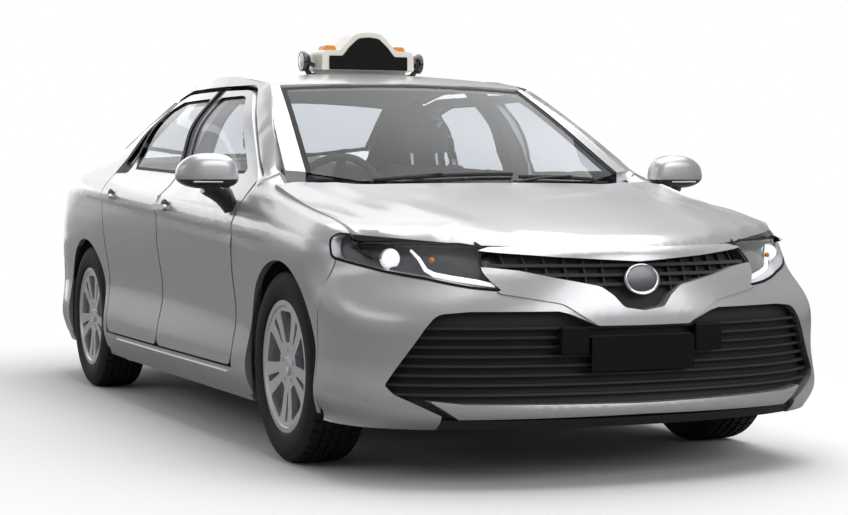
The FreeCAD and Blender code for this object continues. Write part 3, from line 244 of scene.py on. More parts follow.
@dataclass(frozen=True)
class Surface:
    """What solid finishes and glass share: a name, the record's slot and a material."""

    name: str
    slot: str

    def material(self) -> bpy.types.Material:
        """Returns the finish as a material, building it on first use."""
        known = bpy.data.materials.get(self.name)
        if known:
            return known
        made = bpy.data.materials.new(self.name)
        made.use_nodes = True
        tree = made.node_tree
        place = add_node(tree, "ShaderNodeTexCoord")
        mapping = add_node(tree, "ShaderNodeMapping", {"Vector": place.outputs["Object"]})
        self._fill(tree, tree.nodes["Principled BSDF"], mapping.outputs["Vector"])
        return made

    def _fill(self, tree: Tree, shader: Node, mapped: Socket) -> None:
        """Fills the material's nodes.

        Args:
            tree: The material's node tree.
            shader: Its Principled node.
            mapped: The mapped coordinates.
        """
        raise NotImplementedError

    @staticmethod
    def _effect(tree: Tree, name: str, given: Inputs) -> Node:
        """Places a shared effect with its inputs and returns the group node."""
        return add_node(tree, "ShaderNodeGroup", given, node_tree=Effects.get(name))


@dataclass(frozen=True)
class Finish(Surface):
    """A solid finish: base colour that drifts a little, fine relief, road dust near the ground."""

    colour: Colour
    roughness: float
    metallic: float = 0.0
    coat: float = 0.0
    coat_roughness: float = 0.03
    specular: float = 0.5
    sheen: float = 0.0
    mottle: float = 0.04
    mottle_scale: float = 3.0
    relief: Relief = Relief.GRAIN
    relief_scale: float = 900.0
    relief_depth: float = 0.1
    dust: float = 0.0
    glow: float = 0.0

    def _fill(self, tree: Tree, shader: Node, mapped: Socket) -> None:
        """Fills the material's nodes; see Surface."""
        mottle = self._effect(tree, "mottle", {
            "Vector": mapped, "Colour": (*self.colour, 1), "Roughness": self.roughness,
            "Scale": self.mottle_scale, "Amount": self.mottle})
        base = mottle.outputs["Colour"]
        if self.dust:
            dust = self._effect(tree, "road_dust", {"Vector": mapped})
            strength = calculate(tree, "MULTIPLY", dust.outputs["Mask"], self.dust)
            base = add_node(tree, "ShaderNodeMix", {"B": DUST_COLOUR, "Factor": strength, "A": base},
                            data_type="RGBA").outputs["Result"]
        grain = self._effect(tree, self.relief.value, {"Vector": mapped, "Scale": self.relief_scale})
        bump = add_node(tree, "ShaderNodeBump", {
            "Strength": self.relief_depth, "Distance": RELIEF_HEIGHT / self.relief_scale,
            "Height": grain.outputs["Height"]})
        fill(shader, {
            "Base Color": base, "Roughness": mottle.outputs["Roughness"], "Metallic": self.metallic,
            "Coat Weight": self.coat, "Coat Roughness": self.coat_roughness, "Sheen Weight": self.sheen,
            "Specular IOR Level": self.specular, "Normal": bump.outputs["Normal"]})
        if self.glow:
            fill(shader, {"Emission Strength": self.glow, "Emission Color": (*self.colour, 1)})


@dataclass(frozen=True)
class Glazing(Surface):
    """Clear or tinted glass that lets the light through to what is behind it."""

    tint: Colour
    shadow: Colour
    roughness: float = 0.0
    ior: float = 1.22
    ripple: float = 0.02
    ripple_scale: float = 4.0

    def _fill(self, tree: Tree, shader: Node, mapped: Socket) -> None:
        """Fills the material's nodes; see Surface."""
        mottle = self._effect(tree, "mottle", {
            "Vector": mapped, "Colour": (*self.tint, 1), "Roughness": self.roughness,
            "Scale": self.ripple_scale, "Amount": self.ripple})
        fill(shader, {"Transmission Weight": 1.0, "Metallic": 0.0, "IOR": self.ior,
                      "Base Color": mottle.outputs["Colour"], "Roughness": self.roughness})
        through = add_node(tree, "ShaderNodeBsdfTransparent", {"Color": (*self.shadow, 1)})
        path = add_node(tree, "ShaderNodeLightPath")
        mixed = add_node(tree, "ShaderNodeMixShader",
                         {0: path.outputs["Is Shadow Ray"], 1: shader.outputs[0], 2: through.outputs[0]})
        fill(tree.nodes["Material Output"], {"Surface": mixed.outputs[0]})


PAINT = Finish("silver_paint", "paint_silver", (0.60, 0.605, 0.62), 0.33, metallic=0.62, coat=0.55,
               coat_roughness=0.1, mottle=0.012, relief_scale=1400, relief_depth=0.05, dust=0.06)
GLASS = Glazing("tinted_glass", "glass_tint", (0.76, 0.785, 0.82), (0.62, 0.65, 0.69), ior=1.2)
LAMP_CLEAR = Glazing("lamp_lens", "lamp_clear", (0.97, 0.98, 0.99), (0.95, 0.95, 0.95), ior=1.16)
LAMP_RED = Finish("red_lens", "lamp_red", (0.40, 0.006, 0.008), 0.16, coat=0.9, relief_depth=0.02)
BLACK = Finish("black_plastic", "black_plastic", (0.006, 0.006, 0.0065), 0.5, specular=0.16,
               relief_depth=0.25, dust=0.03)
GLOSS_BLACK = Finish("gloss_black", "black_plastic", (0.008, 0.008, 0.009), 0.12, coat=0.6, relief_depth=0.02)
RUBBER = Finish("tyre_rubber", "tyre", (0.014, 0.014, 0.015), 0.68, specular=0.3, relief_scale=500,
                relief_depth=0.3, dust=0.18)
ALLOY = Finish("alloy_wheel", "alloy", (0.86, 0.87, 0.89), 0.36, metallic=0.9, coat=0.4, mottle=0.02,
               relief_scale=1200, relief_depth=0.05)
CAST = Finish("cast_metal", "cast_metal", (0.22, 0.22, 0.23), 0.55, metallic=0.8, relief_scale=350,
              relief_depth=0.4, dust=0.3)
STEEL = Finish("steel", "steel", (0.42, 0.42, 0.43), 0.35, metallic=0.9, mottle=0.08, relief_scale=600,
               dust=0.2)
FABRIC = Finish("seat_fabric", "seat_fabric", (0.10, 0.10, 0.105), 0.9, sheen=0.4, mottle=0.06,
                relief=Relief.WEAVE, relief_scale=260, relief_depth=0.5)
SIGN_WHITE = Finish("sign_shell", "sign_white", (0.83, 0.81, 0.74), 0.38, coat=0.3, relief_depth=0.05)
SIGN_BLACK = Finish("sign_panel", "sign_black", (0.006, 0.006, 0.006), 0.6, specular=0.12, relief_depth=0.1)
PLATE = Finish("plate_panel", "plate_black", (0.006, 0.006, 0.006), 0.5, specular=0.15, relief_depth=0.1)

TRIM = Finish("cabin_trim", "black_plastic", (0.055, 0.055, 0.06), 0.75, relief_scale=700, relief_depth=0.3)
HEADLINER = Finish("headliner", "seat_fabric", (0.22, 0.22, 0.215), 0.95, relief=Relief.WEAVE,
                   relief_scale=500, relief_depth=0.2)
SEAL = Finish("window_seal", "black_plastic", (0.006, 0.006, 0.007), 0.5, specular=0.15, relief_depth=0.1)
CHROME = Finish("bright_metal", "alloy", (0.75, 0.76, 0.78), 0.12, metallic=1.0, mottle=0.01,
                relief_depth=0.02)
BOWL = Finish("lamp_bowl", "black_plastic", (0.035, 0.037, 0.04), 0.3, coat=0.2, relief_depth=0.05)
FIN = Finish("lamp_fin", "black_plastic", (0.09, 0.092, 0.096), 0.3, metallic=0.4, relief_depth=0.05)
# Painted highlight: bright finish of the sill strips, which stand in for the highlight along the sill's upper
# edge.
SILL_PAINTED_HIGHLIGHT = Finish("sill_painted_highlight", "alloy", (0.90, 0.91, 0.93), 0.42, metallic=0.35, coat=0.3, mottle=0.0,
               relief_depth=0.01)
# Painted shade: a near-black colour in the silver paint slot, for the shaded recesses behind the door handles.
RECESS_PAINTED_SHADE = Finish("recess_painted_shade", "paint_silver", (0.035, 0.035, 0.038), 0.5, relief_depth=0.05)
DARK_METAL = Finish("dark_metal", "alloy", (0.16, 0.165, 0.175), 0.3, metallic=0.8, mottle=0.02,
                    relief_depth=0.02)
BADGE = Finish("plain_badge", "alloy", (0.62, 0.63, 0.65), 0.18, metallic=0.9, mottle=0.02, relief_depth=0.02)
LIT_WHITE = Finish("lit_white", "lamp_clear", (0.95, 0.96, 0.97), 0.3, glow=0.55, relief_depth=0.02)
LIT_AMBER = Finish("lit_amber", "lamp_amber", (0.72, 0.25, 0.010), 0.3, coat=0.2, mottle=0.12,
                   mottle_scale=60, relief_depth=0.3, relief_scale=250)
PALE_LENS = Finish("pale_lens", "lamp_clear", (0.82, 0.78, 0.74), 0.2, coat=0.8, mottle=0.06, mottle_scale=40,
                   relief_scale=180, relief_depth=0.4)
MIRROR_GLASS = Finish("mirror_glass", "alloy", (0.85, 0.87, 0.9), 0.03, metallic=1.0, mottle=0.01,
                      relief_depth=0.0)

SLOT_FINISH = {
    "paint_silver": PAINT, "glass_tint": GLASS, "lamp_clear": LAMP_CLEAR, "lamp_red": LAMP_RED,
    "black_plastic": BLACK, "tyre": RUBBER, "alloy": ALLOY, "cast_metal": CAST, "steel": STEEL,
    "seat_fabric": FABRIC, "sign_white": SIGN_WHITE, "sign_black": SIGN_BLACK, "plate_black": PLATE,
    "lamp_amber": LIT_AMBER,
}


# --------------------------------------------------------------------------------------------------------
# Mesh helpers
# --------------------------------------------------------------------------------------------------------


def add_object(name: str, data: bpy.types.ID) -> bpy.types.Object:
    """Makes an object and links it to the scene."""
    made = bpy.data.objects.new(name, data)
    bpy.context.scene.collection.objects.link(made)
    return made


def new_corners(made: dict) -> list[bmesh.types.BMVert]:
    """Returns the corners that an extrusion made."""
    return [each for each in made["geom"] if isinstance(each, bmesh.types.BMVert)]


class Piece:
    """A mesh under construction that ends as one named object on one body."""

    def __init__(self, name: str) -> None:
        """Starts an empty mesh.

        Args:
            name: The object's name.
        """
        self.name = name
        self.mesh = bmesh.new()
        self.finishes: list[Surface] = []

    def add_copy(self, node: str) -> "Piece":
        """Adds a copy of a CAD node's mesh with its loose corners merged.

        Args:
            node: The CAD node's name.

        Returns:
            The piece itself.
        """
        self.mesh.from_mesh(frame["nodes"][node].data)
        bmesh.ops.remove_doubles(self.mesh, verts=self.mesh.verts, dist=2e-5)
        return self

    def smooth(self, degrees: float) -> "Piece":
        """Shades smooth across edges flatter than an angle and sharp across the rest."""
        limit = math.radians(degrees)
        for face in self.mesh.faces:
            face.smooth = True
        for edge in self.mesh.edges:
            edge.smooth = len(edge.link_faces) == 2 and edge.calc_face_angle(math.pi) < limit
        return self

    def slice(self, point: Point, normal: Point) -> "Piece":
        """Cuts every face along a plane and keeps both sides."""
        whole = self.mesh.verts[:] + self.mesh.edges[:] + self.mesh.faces[:]
        bmesh.ops.bisect_plane(self.mesh, geom=whole, plane_co=point, plane_no=normal, dist=1e-6)
        return self

    def turn(self, matrix: Matrix) -> "Piece":
        """Moves, turns or stretches the whole mesh."""
        bmesh.ops.transform(self.mesh, matrix=matrix, verts=self.mesh.verts)
        return self

    def push(self, side_table: Sequence[tuple[float, float]], slope: float, height: float,
             ends: tuple[float, float, float]) -> "Piece":
        """Draws the outer skin of a side panel in or out along a straight line.

        Args:
            side_table: (height over the line, outward move) in metres, lowest first.
            slope: How much the line falls towards the front for each metre.
            height: The line's height at the middle of the car.
            ends: Rear end, front end and length of fade of the move.

        Returns:
            The piece itself.
        """
        for over, _ in side_table:
            self.slice((0, 0, height + over), (slope, 0, 1))
        self.mesh.normal_update()
        moved = {}
        for face in self.mesh.faces:
            if abs(face.normal.y) > 0.35 and face.normal.y * face.calc_center_median().y > 0:
                for vert in face.verts:
                    moved[vert] = math.copysign(1, vert.co.y)
        rear, front, fade = ends
        for vert, side in moved.items():
            over = vert.co.z + slope * vert.co.x - height
            share = min(1, max(0, (vert.co.x - rear) / fade)) * min(1, max(0, (front - vert.co.x) / fade))
            for (low, a), (high, b) in zip(side_table, side_table[1:]):
                if low <= over <= high:
                    vert.co.y += side * share * (a + (b - a) * (over - low) / (high - low))
                    break
        return self

    def dress(self, finish: Surface, test: Callable[[Vector, Vector], bool]) -> "Piece":
        """Gives a further finish to the faces that pass a test of centre and normal."""
        self.finishes.append(finish)
        for face in self.mesh.faces:
            if test(face.calc_center_median(), face.normal):
                face.material_index = len(self.finishes)
        return self

    def keep(self, test: Callable[[Vector, Vector], bool]) -> "Piece":
        """Deletes the faces that fail a test of centre and normal."""
        self.mesh.normal_update()
        lost = [face for face in self.mesh.faces if not test(face.calc_center_median(), face.normal)]
        bmesh.ops.delete(self.mesh, geom=lost, context="FACES")
        return self

    def border(self, width: float) -> "Piece":
        """Keeps only a band of the given width round the edge of an open skin."""
        made = bmesh.ops.inset_region(self.mesh, faces=self.mesh.faces[:], thickness=width, use_boundary=True,
                                      use_even_offset=True)
        band = set(made["faces"])
        bmesh.ops.delete(self.mesh, geom=[f for f in self.mesh.faces if f not in band], context="FACES")
        return self

    def thicken(self, depth: float) -> "Piece":
        """Gives an open skin a thickness; a positive depth grows against the faces' direction."""
        bmesh.ops.solidify(self.mesh, geom=self.mesh.faces[:], thickness=depth)
        return self

    def lathe(self, rows: Sequence[tuple[float, float]], centre: Point, steps: int, side: int = 1) -> "Piece":
        """Spins a profile about a line along Y.

        Args:
            rows: (outboard, radius) of each corner in millimetres.
            centre: Middle of the ring in metres.
            steps: Number of segments.
            side: 1 for the left of the car and -1 for the right.

        Returns:
            The piece itself.
        """
        cx, cy, cz = centre
        ring = bmesh.new()
        verts = [ring.verts.new((cx, cy + side * a / 1000, cz + r / 1000)) for a, r in rows]
        edges = [ring.edges.new(pair) for pair in zip(verts, verts[1:])]
        bmesh.ops.spin(ring, geom=verts + edges, cent=centre, axis=(0, 1, 0), angle=math.tau, steps=steps,
                       use_merge=True)
        bmesh.ops.remove_doubles(ring, verts=ring.verts, dist=1e-6)
        bmesh.ops.recalc_face_normals(ring, faces=ring.faces)
        self._take(ring)
        return self

    def tube(self, points: Sequence[Point], radius: Union[float, Sequence[float]], sides: int = 10,
             flat: float = 1.0) -> "Piece":
        """Sweeps a round or flattened section along a path, with closed ends.

        Args:
            points: Path in metres.
            radius: Half the width of the section, one for all points or one for each.
            sides: Corners of the section.
            flat: Height of the section as a share of its width.

        Returns:
            The piece itself.
        """
        path = [Vector(p) for p in points]
        radii = list(radius) if isinstance(radius, (list, tuple)) else [radius] * len(path)
        swept = bmesh.new()
        last: Optional[Matrix] = None
        faces: list[bmesh.types.BMFace] = []
        for i, point in enumerate(path):
            along = (path[min(i + 1, len(path) - 1)] - path[max(i - 1, 0)]).normalized()
            turn = along.to_track_quat("Z", "Y").to_matrix().to_4x4()
            spot = Matrix.Translation(point) @ turn @ Matrix.Diagonal((radii[i], radii[i] * flat, 1, 1))
            if last is None:
                bmesh.ops.create_circle(swept, cap_ends=True, segments=sides, radius=1.0, matrix=spot)
                faces = swept.faces[:]
            else:
                made = bmesh.ops.extrude_face_region(swept, geom=faces)
                faces = [each for each in made["geom"] if isinstance(each, bmesh.types.BMFace)]
                bmesh.ops.transform(swept, matrix=spot @ last.inverted(), verts=new_corners(made))
            last = spot
        bmesh.ops.recalc_face_normals(swept, faces=swept.faces)
        self._take(swept)
        return self

    def shift(self, test: Callable[[Vector, Vector], bool], distance: float) -> "Piece":
        """Moves the corners of the faces that pass a test along the corners' normals."""
        self.mesh.normal_update()
        chosen = {vert for face in self.mesh.faces if test(face.calc_center_median(), face.normal)
                  for vert in face.verts}
        for vert, step in [(vert, vert.normal * distance) for vert in chosen]:
            vert.co += step
        return self

    def ball(self, centre: Point, radius: float, stretch: Point = (1, 1, 1), segments: int = 24) -> "Piece":
        """Adds a ball, stretched along the axes."""
        spot = Matrix.Translation(centre) @ Matrix.Diagonal((*stretch, 1))
        bmesh.ops.create_uvsphere(self.mesh, u_segments=segments, v_segments=segments // 2, radius=radius,
                                  matrix=spot)
        return self

    def block(self, low: Point, high: Point, bevel: float = 0.0) -> "Piece":
        """Adds a box between two corners with its edges rounded."""
        centre = [(a + b) / 2 for a, b in zip(low, high)]
        size = [b - a for a, b in zip(low, high)]
        spot = Matrix.Translation(centre) @ Matrix.Diagonal((*size, 1))
        part = bmesh.new()
        bmesh.ops.create_cube(part, size=1.0, matrix=spot)
        if bevel:
            bmesh.ops.bevel(part, geom=part.edges[:], offset=bevel, affect="EDGES", segments=3, profile=0.5,
                            material=-1)
        self._take(part)
        return self

    def _take(self, other: bmesh.types.BMesh) -> None:
        """Adds another mesh under construction to this one."""
        data = bpy.data.meshes.new("part")
        other.to_mesh(data)
        other.free()
        self.mesh.from_mesh(data)
        bpy.data.meshes.remove(data)

    def place(self, body: str, finish: Surface, replaces: Sequence[str] = ()) -> bpy.types.Object:
        """Turns the mesh into an object that rides on a body.

        Args:
            body: The CAD body's name.
            finish: The finish to dress it in.
            replaces: CAD nodes that the piece stands for.

        Returns:
            The finished object.
        """
        data = bpy.data.meshes.new(self.name)
        self.mesh.to_mesh(data)
        self.mesh.free()
        made = add_object(self.name, data)
        for each in [finish] + self.finishes:
            data.materials.append(each.material())
        weighted = made.modifiers.new("even_shading", "WEIGHTED_NORMAL")
        weighted.keep_sharp = True
        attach(made, body)
        if replaces:
            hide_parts(*replaces)
        LOG.info("piece %s on %s: %d faces", self.name, body, len(data.polygons))
        return made


def node_body() -> dict[str, str]:
    """Returns each CAD node's body, as the record gives it."""
    bodies = frame["record"]["behaviour"]["bodies"]
    return {node: body for body, nodes in bodies.items() for node in nodes}


# ------------------------------------------------------------------------------------------------------
# Sub-assemblies
# ------------------------------------------------------------------------------------------------------


@dataclass
class Shell:
    """Painted panels, glass and structure: the CAD forms with merged, smoothly shaded meshes."""

    sharp: float = 32.0
    crease_slope: float = 0.0514
    crease_height: float = 0.842
    crease_ends: tuple[float, float, float] = (-1.52, 1.36, 0.22)
    crease_table: Rows = (
        (-0.11, 0.0), (-0.05, -0.0008), (-0.014, -0.0025), (0.0, 0.0015), (0.012, 0.0012), (0.026, 0.0),
        (0.045, -0.004), (0.066, -0.009), (0.09, -0.008), (0.13, 0.0),
    )
    hood_front: float = 1.75
    lean: float = 0.014
    lean_reach: float = 0.034
    lean_drop: tuple[float, float] = (0.004, 0.005)
    foot_forward: float = 0.008
    lamp_start: float = 0.54
    lamp_fade: float = 0.06
    shade_start: float = 0.45
    shade_corner: Point = (2.1, 0.50, 0.771)
    shade_rise: float = 0.10
    rail_out: float = 0.009
    belt: float = 1.0
    bar_spot: tuple[float, float] = (-0.738, 1.29)
    bar_way: tuple[float, float] = (-0.26, 0.104)
    bar_foot: float = 1.012
    pillar_front: float = -0.015
    pillar_rear: float = -0.118
    cabin_middle: Point = (-0.1, 0.0, 0.9)
    cabin_foot: float = 0.5
    skip: tuple[str, ...] = ("headlamps", "front_seats", "rear_seat", "sign_lamps", "mirror_left",
                             "mirror_right")

    def build(self) -> None:
        """Dresses each CAD node, except the tyres and the nodes in the skip list, in its slot's finish on a
        smoothly shaded copy.
        """
        slots = {part["node"]: part["material_slot"] for part in frame["record"]["subparts"]}
        bodies = node_body()
        for node in frame["nodes"]:
            if node in self.skip or node.endswith("_tyre"):
                continue
            piece = Piece(node + "_dressed").add_copy(node)
            door = node.startswith("door_") and "glass" not in node
            if door or node in ("front_fenders", "rear_quarters"):
                piece.push(self.crease_table, self.crease_slope, self.crease_height, self.crease_ends)
            if door:
                self._door(piece, node)
            if node == "roof_panel":
                piece.dress(HEADLINER, lambda spot, normal: normal.z < -0.3)
            if node == "roof_rails":
                piece.shift(lambda spot, normal: normal.y * spot.y > 0 and normal.z > -0.3, self.rail_out)
            if node in ("windscreen_pillars", "rear_pillars", "roof_rails", "rear_quarters"):
                piece.mesh.normal_update()
                piece.dress(TRIM, self._inward)
            if node == "hood":
                self._lean_front(piece)
            if node == "centre_pillars":
                piece.slice((0, 0, self.belt), (0, 0, 1))
            piece.smooth(self.sharp).place(bodies[node], SLOT_FINISH[slots[node]], (node,))

    def _inward(self, spot: Vector, normal: Vector) -> bool:
        """Tells whether a face looks into the cabin."""
        return normal.dot((Vector(self.cabin_middle) - spot).normalized()) > 0.25 and spot.z > self.cabin_foot

    @staticmethod
    def _level(rows: list[tuple[float, float]], y: float) -> float:
        """Returns the height of a row of corners at a width, by straight lines between them."""
        if y <= rows[0][0]:
            return rows[0][1]
        for (y0, z0), (y1, z1) in zip(rows, rows[1:]):
            if y <= y1:
                return z0 + (z1 - z0) * (y - y0) / max(1e-6, y1 - y0)
        return rows[-1][1]

    @staticmethod
    def _runs(faces: list[bmesh.types.BMFace]) -> list[tuple[int, ...]]:
        """Numbers the corners of loose faces one after another."""
        runs, start = [], 0
        for face in faces:
            runs.append(tuple(range(start, start + len(face.verts))))
            start += len(face.verts)
        return runs

    def _lean_front(self, piece: Piece) -> None:
        """Leans the hood's front face back and paints shade, in gloss black, on its lower front face and
        underside over the headlamps.

        Each corner near the front face moves by its share of the height between the face's foot and top.

        Args:
            piece: The hood's copy.
        """
        mesh = piece.mesh
        mesh.normal_update()
        faces = [face for face in mesh.faces if face.normal.x > 0.3 and abs(face.normal.z) < 0.35
                 and face.calc_center_median().x > self.hood_front]
        tree = BVHTree.FromPolygons([vert.co.copy() for face in faces for vert in face.verts],
                                    self._runs(faces))
        corners = {vert for face in faces for vert in face.verts}
        tops = sorted((v.co.y, v.co.z) for v in corners if any(face.normal.z > 0.6 for face in v.link_faces))
        feet = sorted((v.co.y, v.co.z) for v in corners if any(face.normal.z < -0.6 for face in v.link_faces))
        moves = {}
        for vert in mesh.verts:
            spot, normal, _, distance = tree.find_nearest(vert.co, self.lean_reach)
            if spot is None:
                continue
            top, foot = (self._level(rows, vert.co.y) for rows in (tops, feet))
            share = min(1.0, max(0.0, (vert.co.z - foot) / max(0.004, top - foot)))
            over = min(1.0, max(0.0, (abs(vert.co.y) - self.lamp_start) / self.lamp_fade))
            back = self.lean * share - self.foot_forward * (1 - share) * (1 - over)
            down = (self.lean_drop[0] + self.lean_drop[1] * over) * share
            flat = Vector((normal.x, normal.y, 0)).normalized()
            moves[vert] = (-flat * back - Vector((0, 0, down))) * (1 - distance / self.lean_reach)
        for vert, move in moves.items():
            vert.co += move
        mesh.normal_update()
        along, across, height = self.shade_corner
        for side, _ in SIDES:
            piece.slice((along, side * across, height), (0, -side * self.shade_rise, 1))
        mesh.normal_update()
        # Painted shade: gloss black on the hood's lower front face and underside over the headlamps, where the
        # lip shades them.
        piece.dress(GLOSS_BLACK, lambda spot, normal: abs(spot.y) > self.shade_start
                    and spot.x > self.hood_front
                    and (normal.x > 0.3 and spot.z < height + (abs(spot.y) - across) * self.shade_rise
                         or normal.z < -0.5))

    def _door(self, piece: Piece, node: str) -> None:
        """Cuts and trims a door: dark lining inside and a black cover on the post between the windows.

        Args:
            piece: The door's copy.
            node: The door's CAD node.
        """
        side = 1 if node.endswith("left") else -1
        edge = self.pillar_front if "front" in node else self.pillar_rear
        piece.slice((edge, 0, 0), (1, 0, 0)).slice((0, 0, self.belt), (0, 0, 1))
        piece.mesh.normal_update()
        piece.dress(TRIM, lambda spot, normal: normal.y * side < -0.4)
        ahead = 1 if "rear" in node else -1
        if "rear" in node:
            piece.slice((self.bar_spot[0], 0, self.bar_spot[1]), (self.bar_way[0], 0, self.bar_way[1]))
        piece.dress(SEAL, lambda spot, normal: spot.z > self.belt and normal.y * side > -0.4
                    and ((spot.x - edge) * ahead > 0 or self._behind(spot)))

    def _behind(self, spot: Vector) -> bool:
        """Tells whether a point lies behind the bar ahead of the small rear side window."""
        (x, z), (way_x, way_z) = self.bar_spot, self.bar_way
        return way_x * (spot.x - x) + way_z * (spot.z - z) > 0 and spot.z > self.bar_foot


@dataclass
class Glass:
    """Black borders round the panes, just proud of the glass."""

    windscreen_band: float = 0.022
    open_foot: float = 0.05
    side_band: float = 0.013
    proud: float = 0.0012
    depth: float = 0.0008

    def build(self) -> None:
        """Builds a band for each pane."""
        rows = [
            ("windscreen", "body", self.windscreen_band, Vector((0.5, 0, 0.8))),
            ("rear_window", "body", self.windscreen_band, Vector((-0.5, 0, 0.8))),
        ]
        for end in ("front", "rear"):
            for way, side in SIDES:
                rows.append((f"door_glass_{end}_{side}", f"door_{end}_{side}", self.side_band,
                             Vector((0, way, 0.3))))
        for node, body, width, out in rows:
            piece = Piece(node + "_border").add_copy(node)
            piece.keep(lambda spot, normal: normal.dot(out) > 0.35)
            for vert in piece.mesh.verts:
                vert.co += vert.normal * self.proud
            foot = min(vert.co.z for vert in piece.mesh.verts) + self.open_foot
            piece.border(width)
            if node == "windscreen":
                piece.keep(lambda spot, normal: spot.z > foot)
            piece.thicken(self.depth).smooth(30).place(body, SEAL)


@dataclass
class Tyres:
    """Four tyres with grooved tread, sipes and a ridged side wall."""

    steps: int = 144
    half: Rows = (
        (11, 334), (13, 326), (20, 326), (22, 334), (45, 333.6), (47, 326), (54, 326), (56, 333), (78, 331),
        (88, 327.5), (95, 320), (99, 311), (100.5, 305), (103, 303), (106, 292), (107.5, 276), (106.5, 256),
        (103, 239), (101, 236), (98, 234), (88, 217),
    )
    shoulder: float = 0.328
    middle_rib: float = 0.03
    sipe_inset: float = 0.0022
    sipe_depth: float = 0.005

    def build(self) -> None:
        """Builds the four tyres."""
        profile = [(-a, r) for a, r in reversed(self.half)] + list(self.half)
        for place, (body, side) in WHEELS.items():
            low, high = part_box(place + "_tyre")
            centre = tuple((low + high) / 2)
            piece = Piece(place + "_tyre_dressed").lathe(profile, centre, self.steps, side)
            cuts = []
            for face in piece.mesh.faces:
                spot = face.calc_center_median() - Vector(centre)
                radius, across = math.hypot(spot.x, spot.z), abs(spot.y)
                turn = round((math.atan2(spot.z, spot.x) % math.tau) / math.tau * self.steps - 0.5)
                if radius > self.shoulder and turn % 3 == (0 if across > self.middle_rib else 1):
                    cuts.append(face)
            bmesh.ops.inset_individual(piece.mesh, faces=cuts, thickness=self.sipe_inset,
                                       depth=-self.sipe_depth)
            piece.smooth(40).place(body, RUBBER, (place + "_tyre",))


@dataclass
class WheelTrim:
    """Centre cap and wheel nuts of each alloy wheel."""

    nuts: int = 5
    nut_circle: float = 0.057
    sunk: float = 0.017
    first_turn: float = 0.3
    cap: Rows = ((0, 0.01), (6, 8), (9, 22), (8, 29), (3, 32), (-12, 32))
    nut: Rows = ((0, 0.01), (4, 5), (4, 8.5), (-10, 10))

    def build(self) -> None:
        """Builds the trim of the four wheels."""
        for place, (body, side) in WHEELS.items():
            low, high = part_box(place + "_rim")
            centre = (low + high) / 2
            face = (high.y if side > 0 else low.y) - side * self.sunk
            cap = Piece(place + "_cap").lathe(self.cap, (centre.x, face, centre.z), 40, side)
            cap.smooth(35).place(body, ALLOY)
            nuts = Piece(place + "_nuts")
            for k in range(self.nuts):
                turn = math.tau * k / self.nuts + self.first_turn
                spot = (centre.x + self.nut_circle * math.cos(turn), face,
                        centre.z + self.nut_circle * math.sin(turn))
                nuts.lathe(self.nut, spot, 6, side)
            nuts.smooth(20).place(body, CHROME)


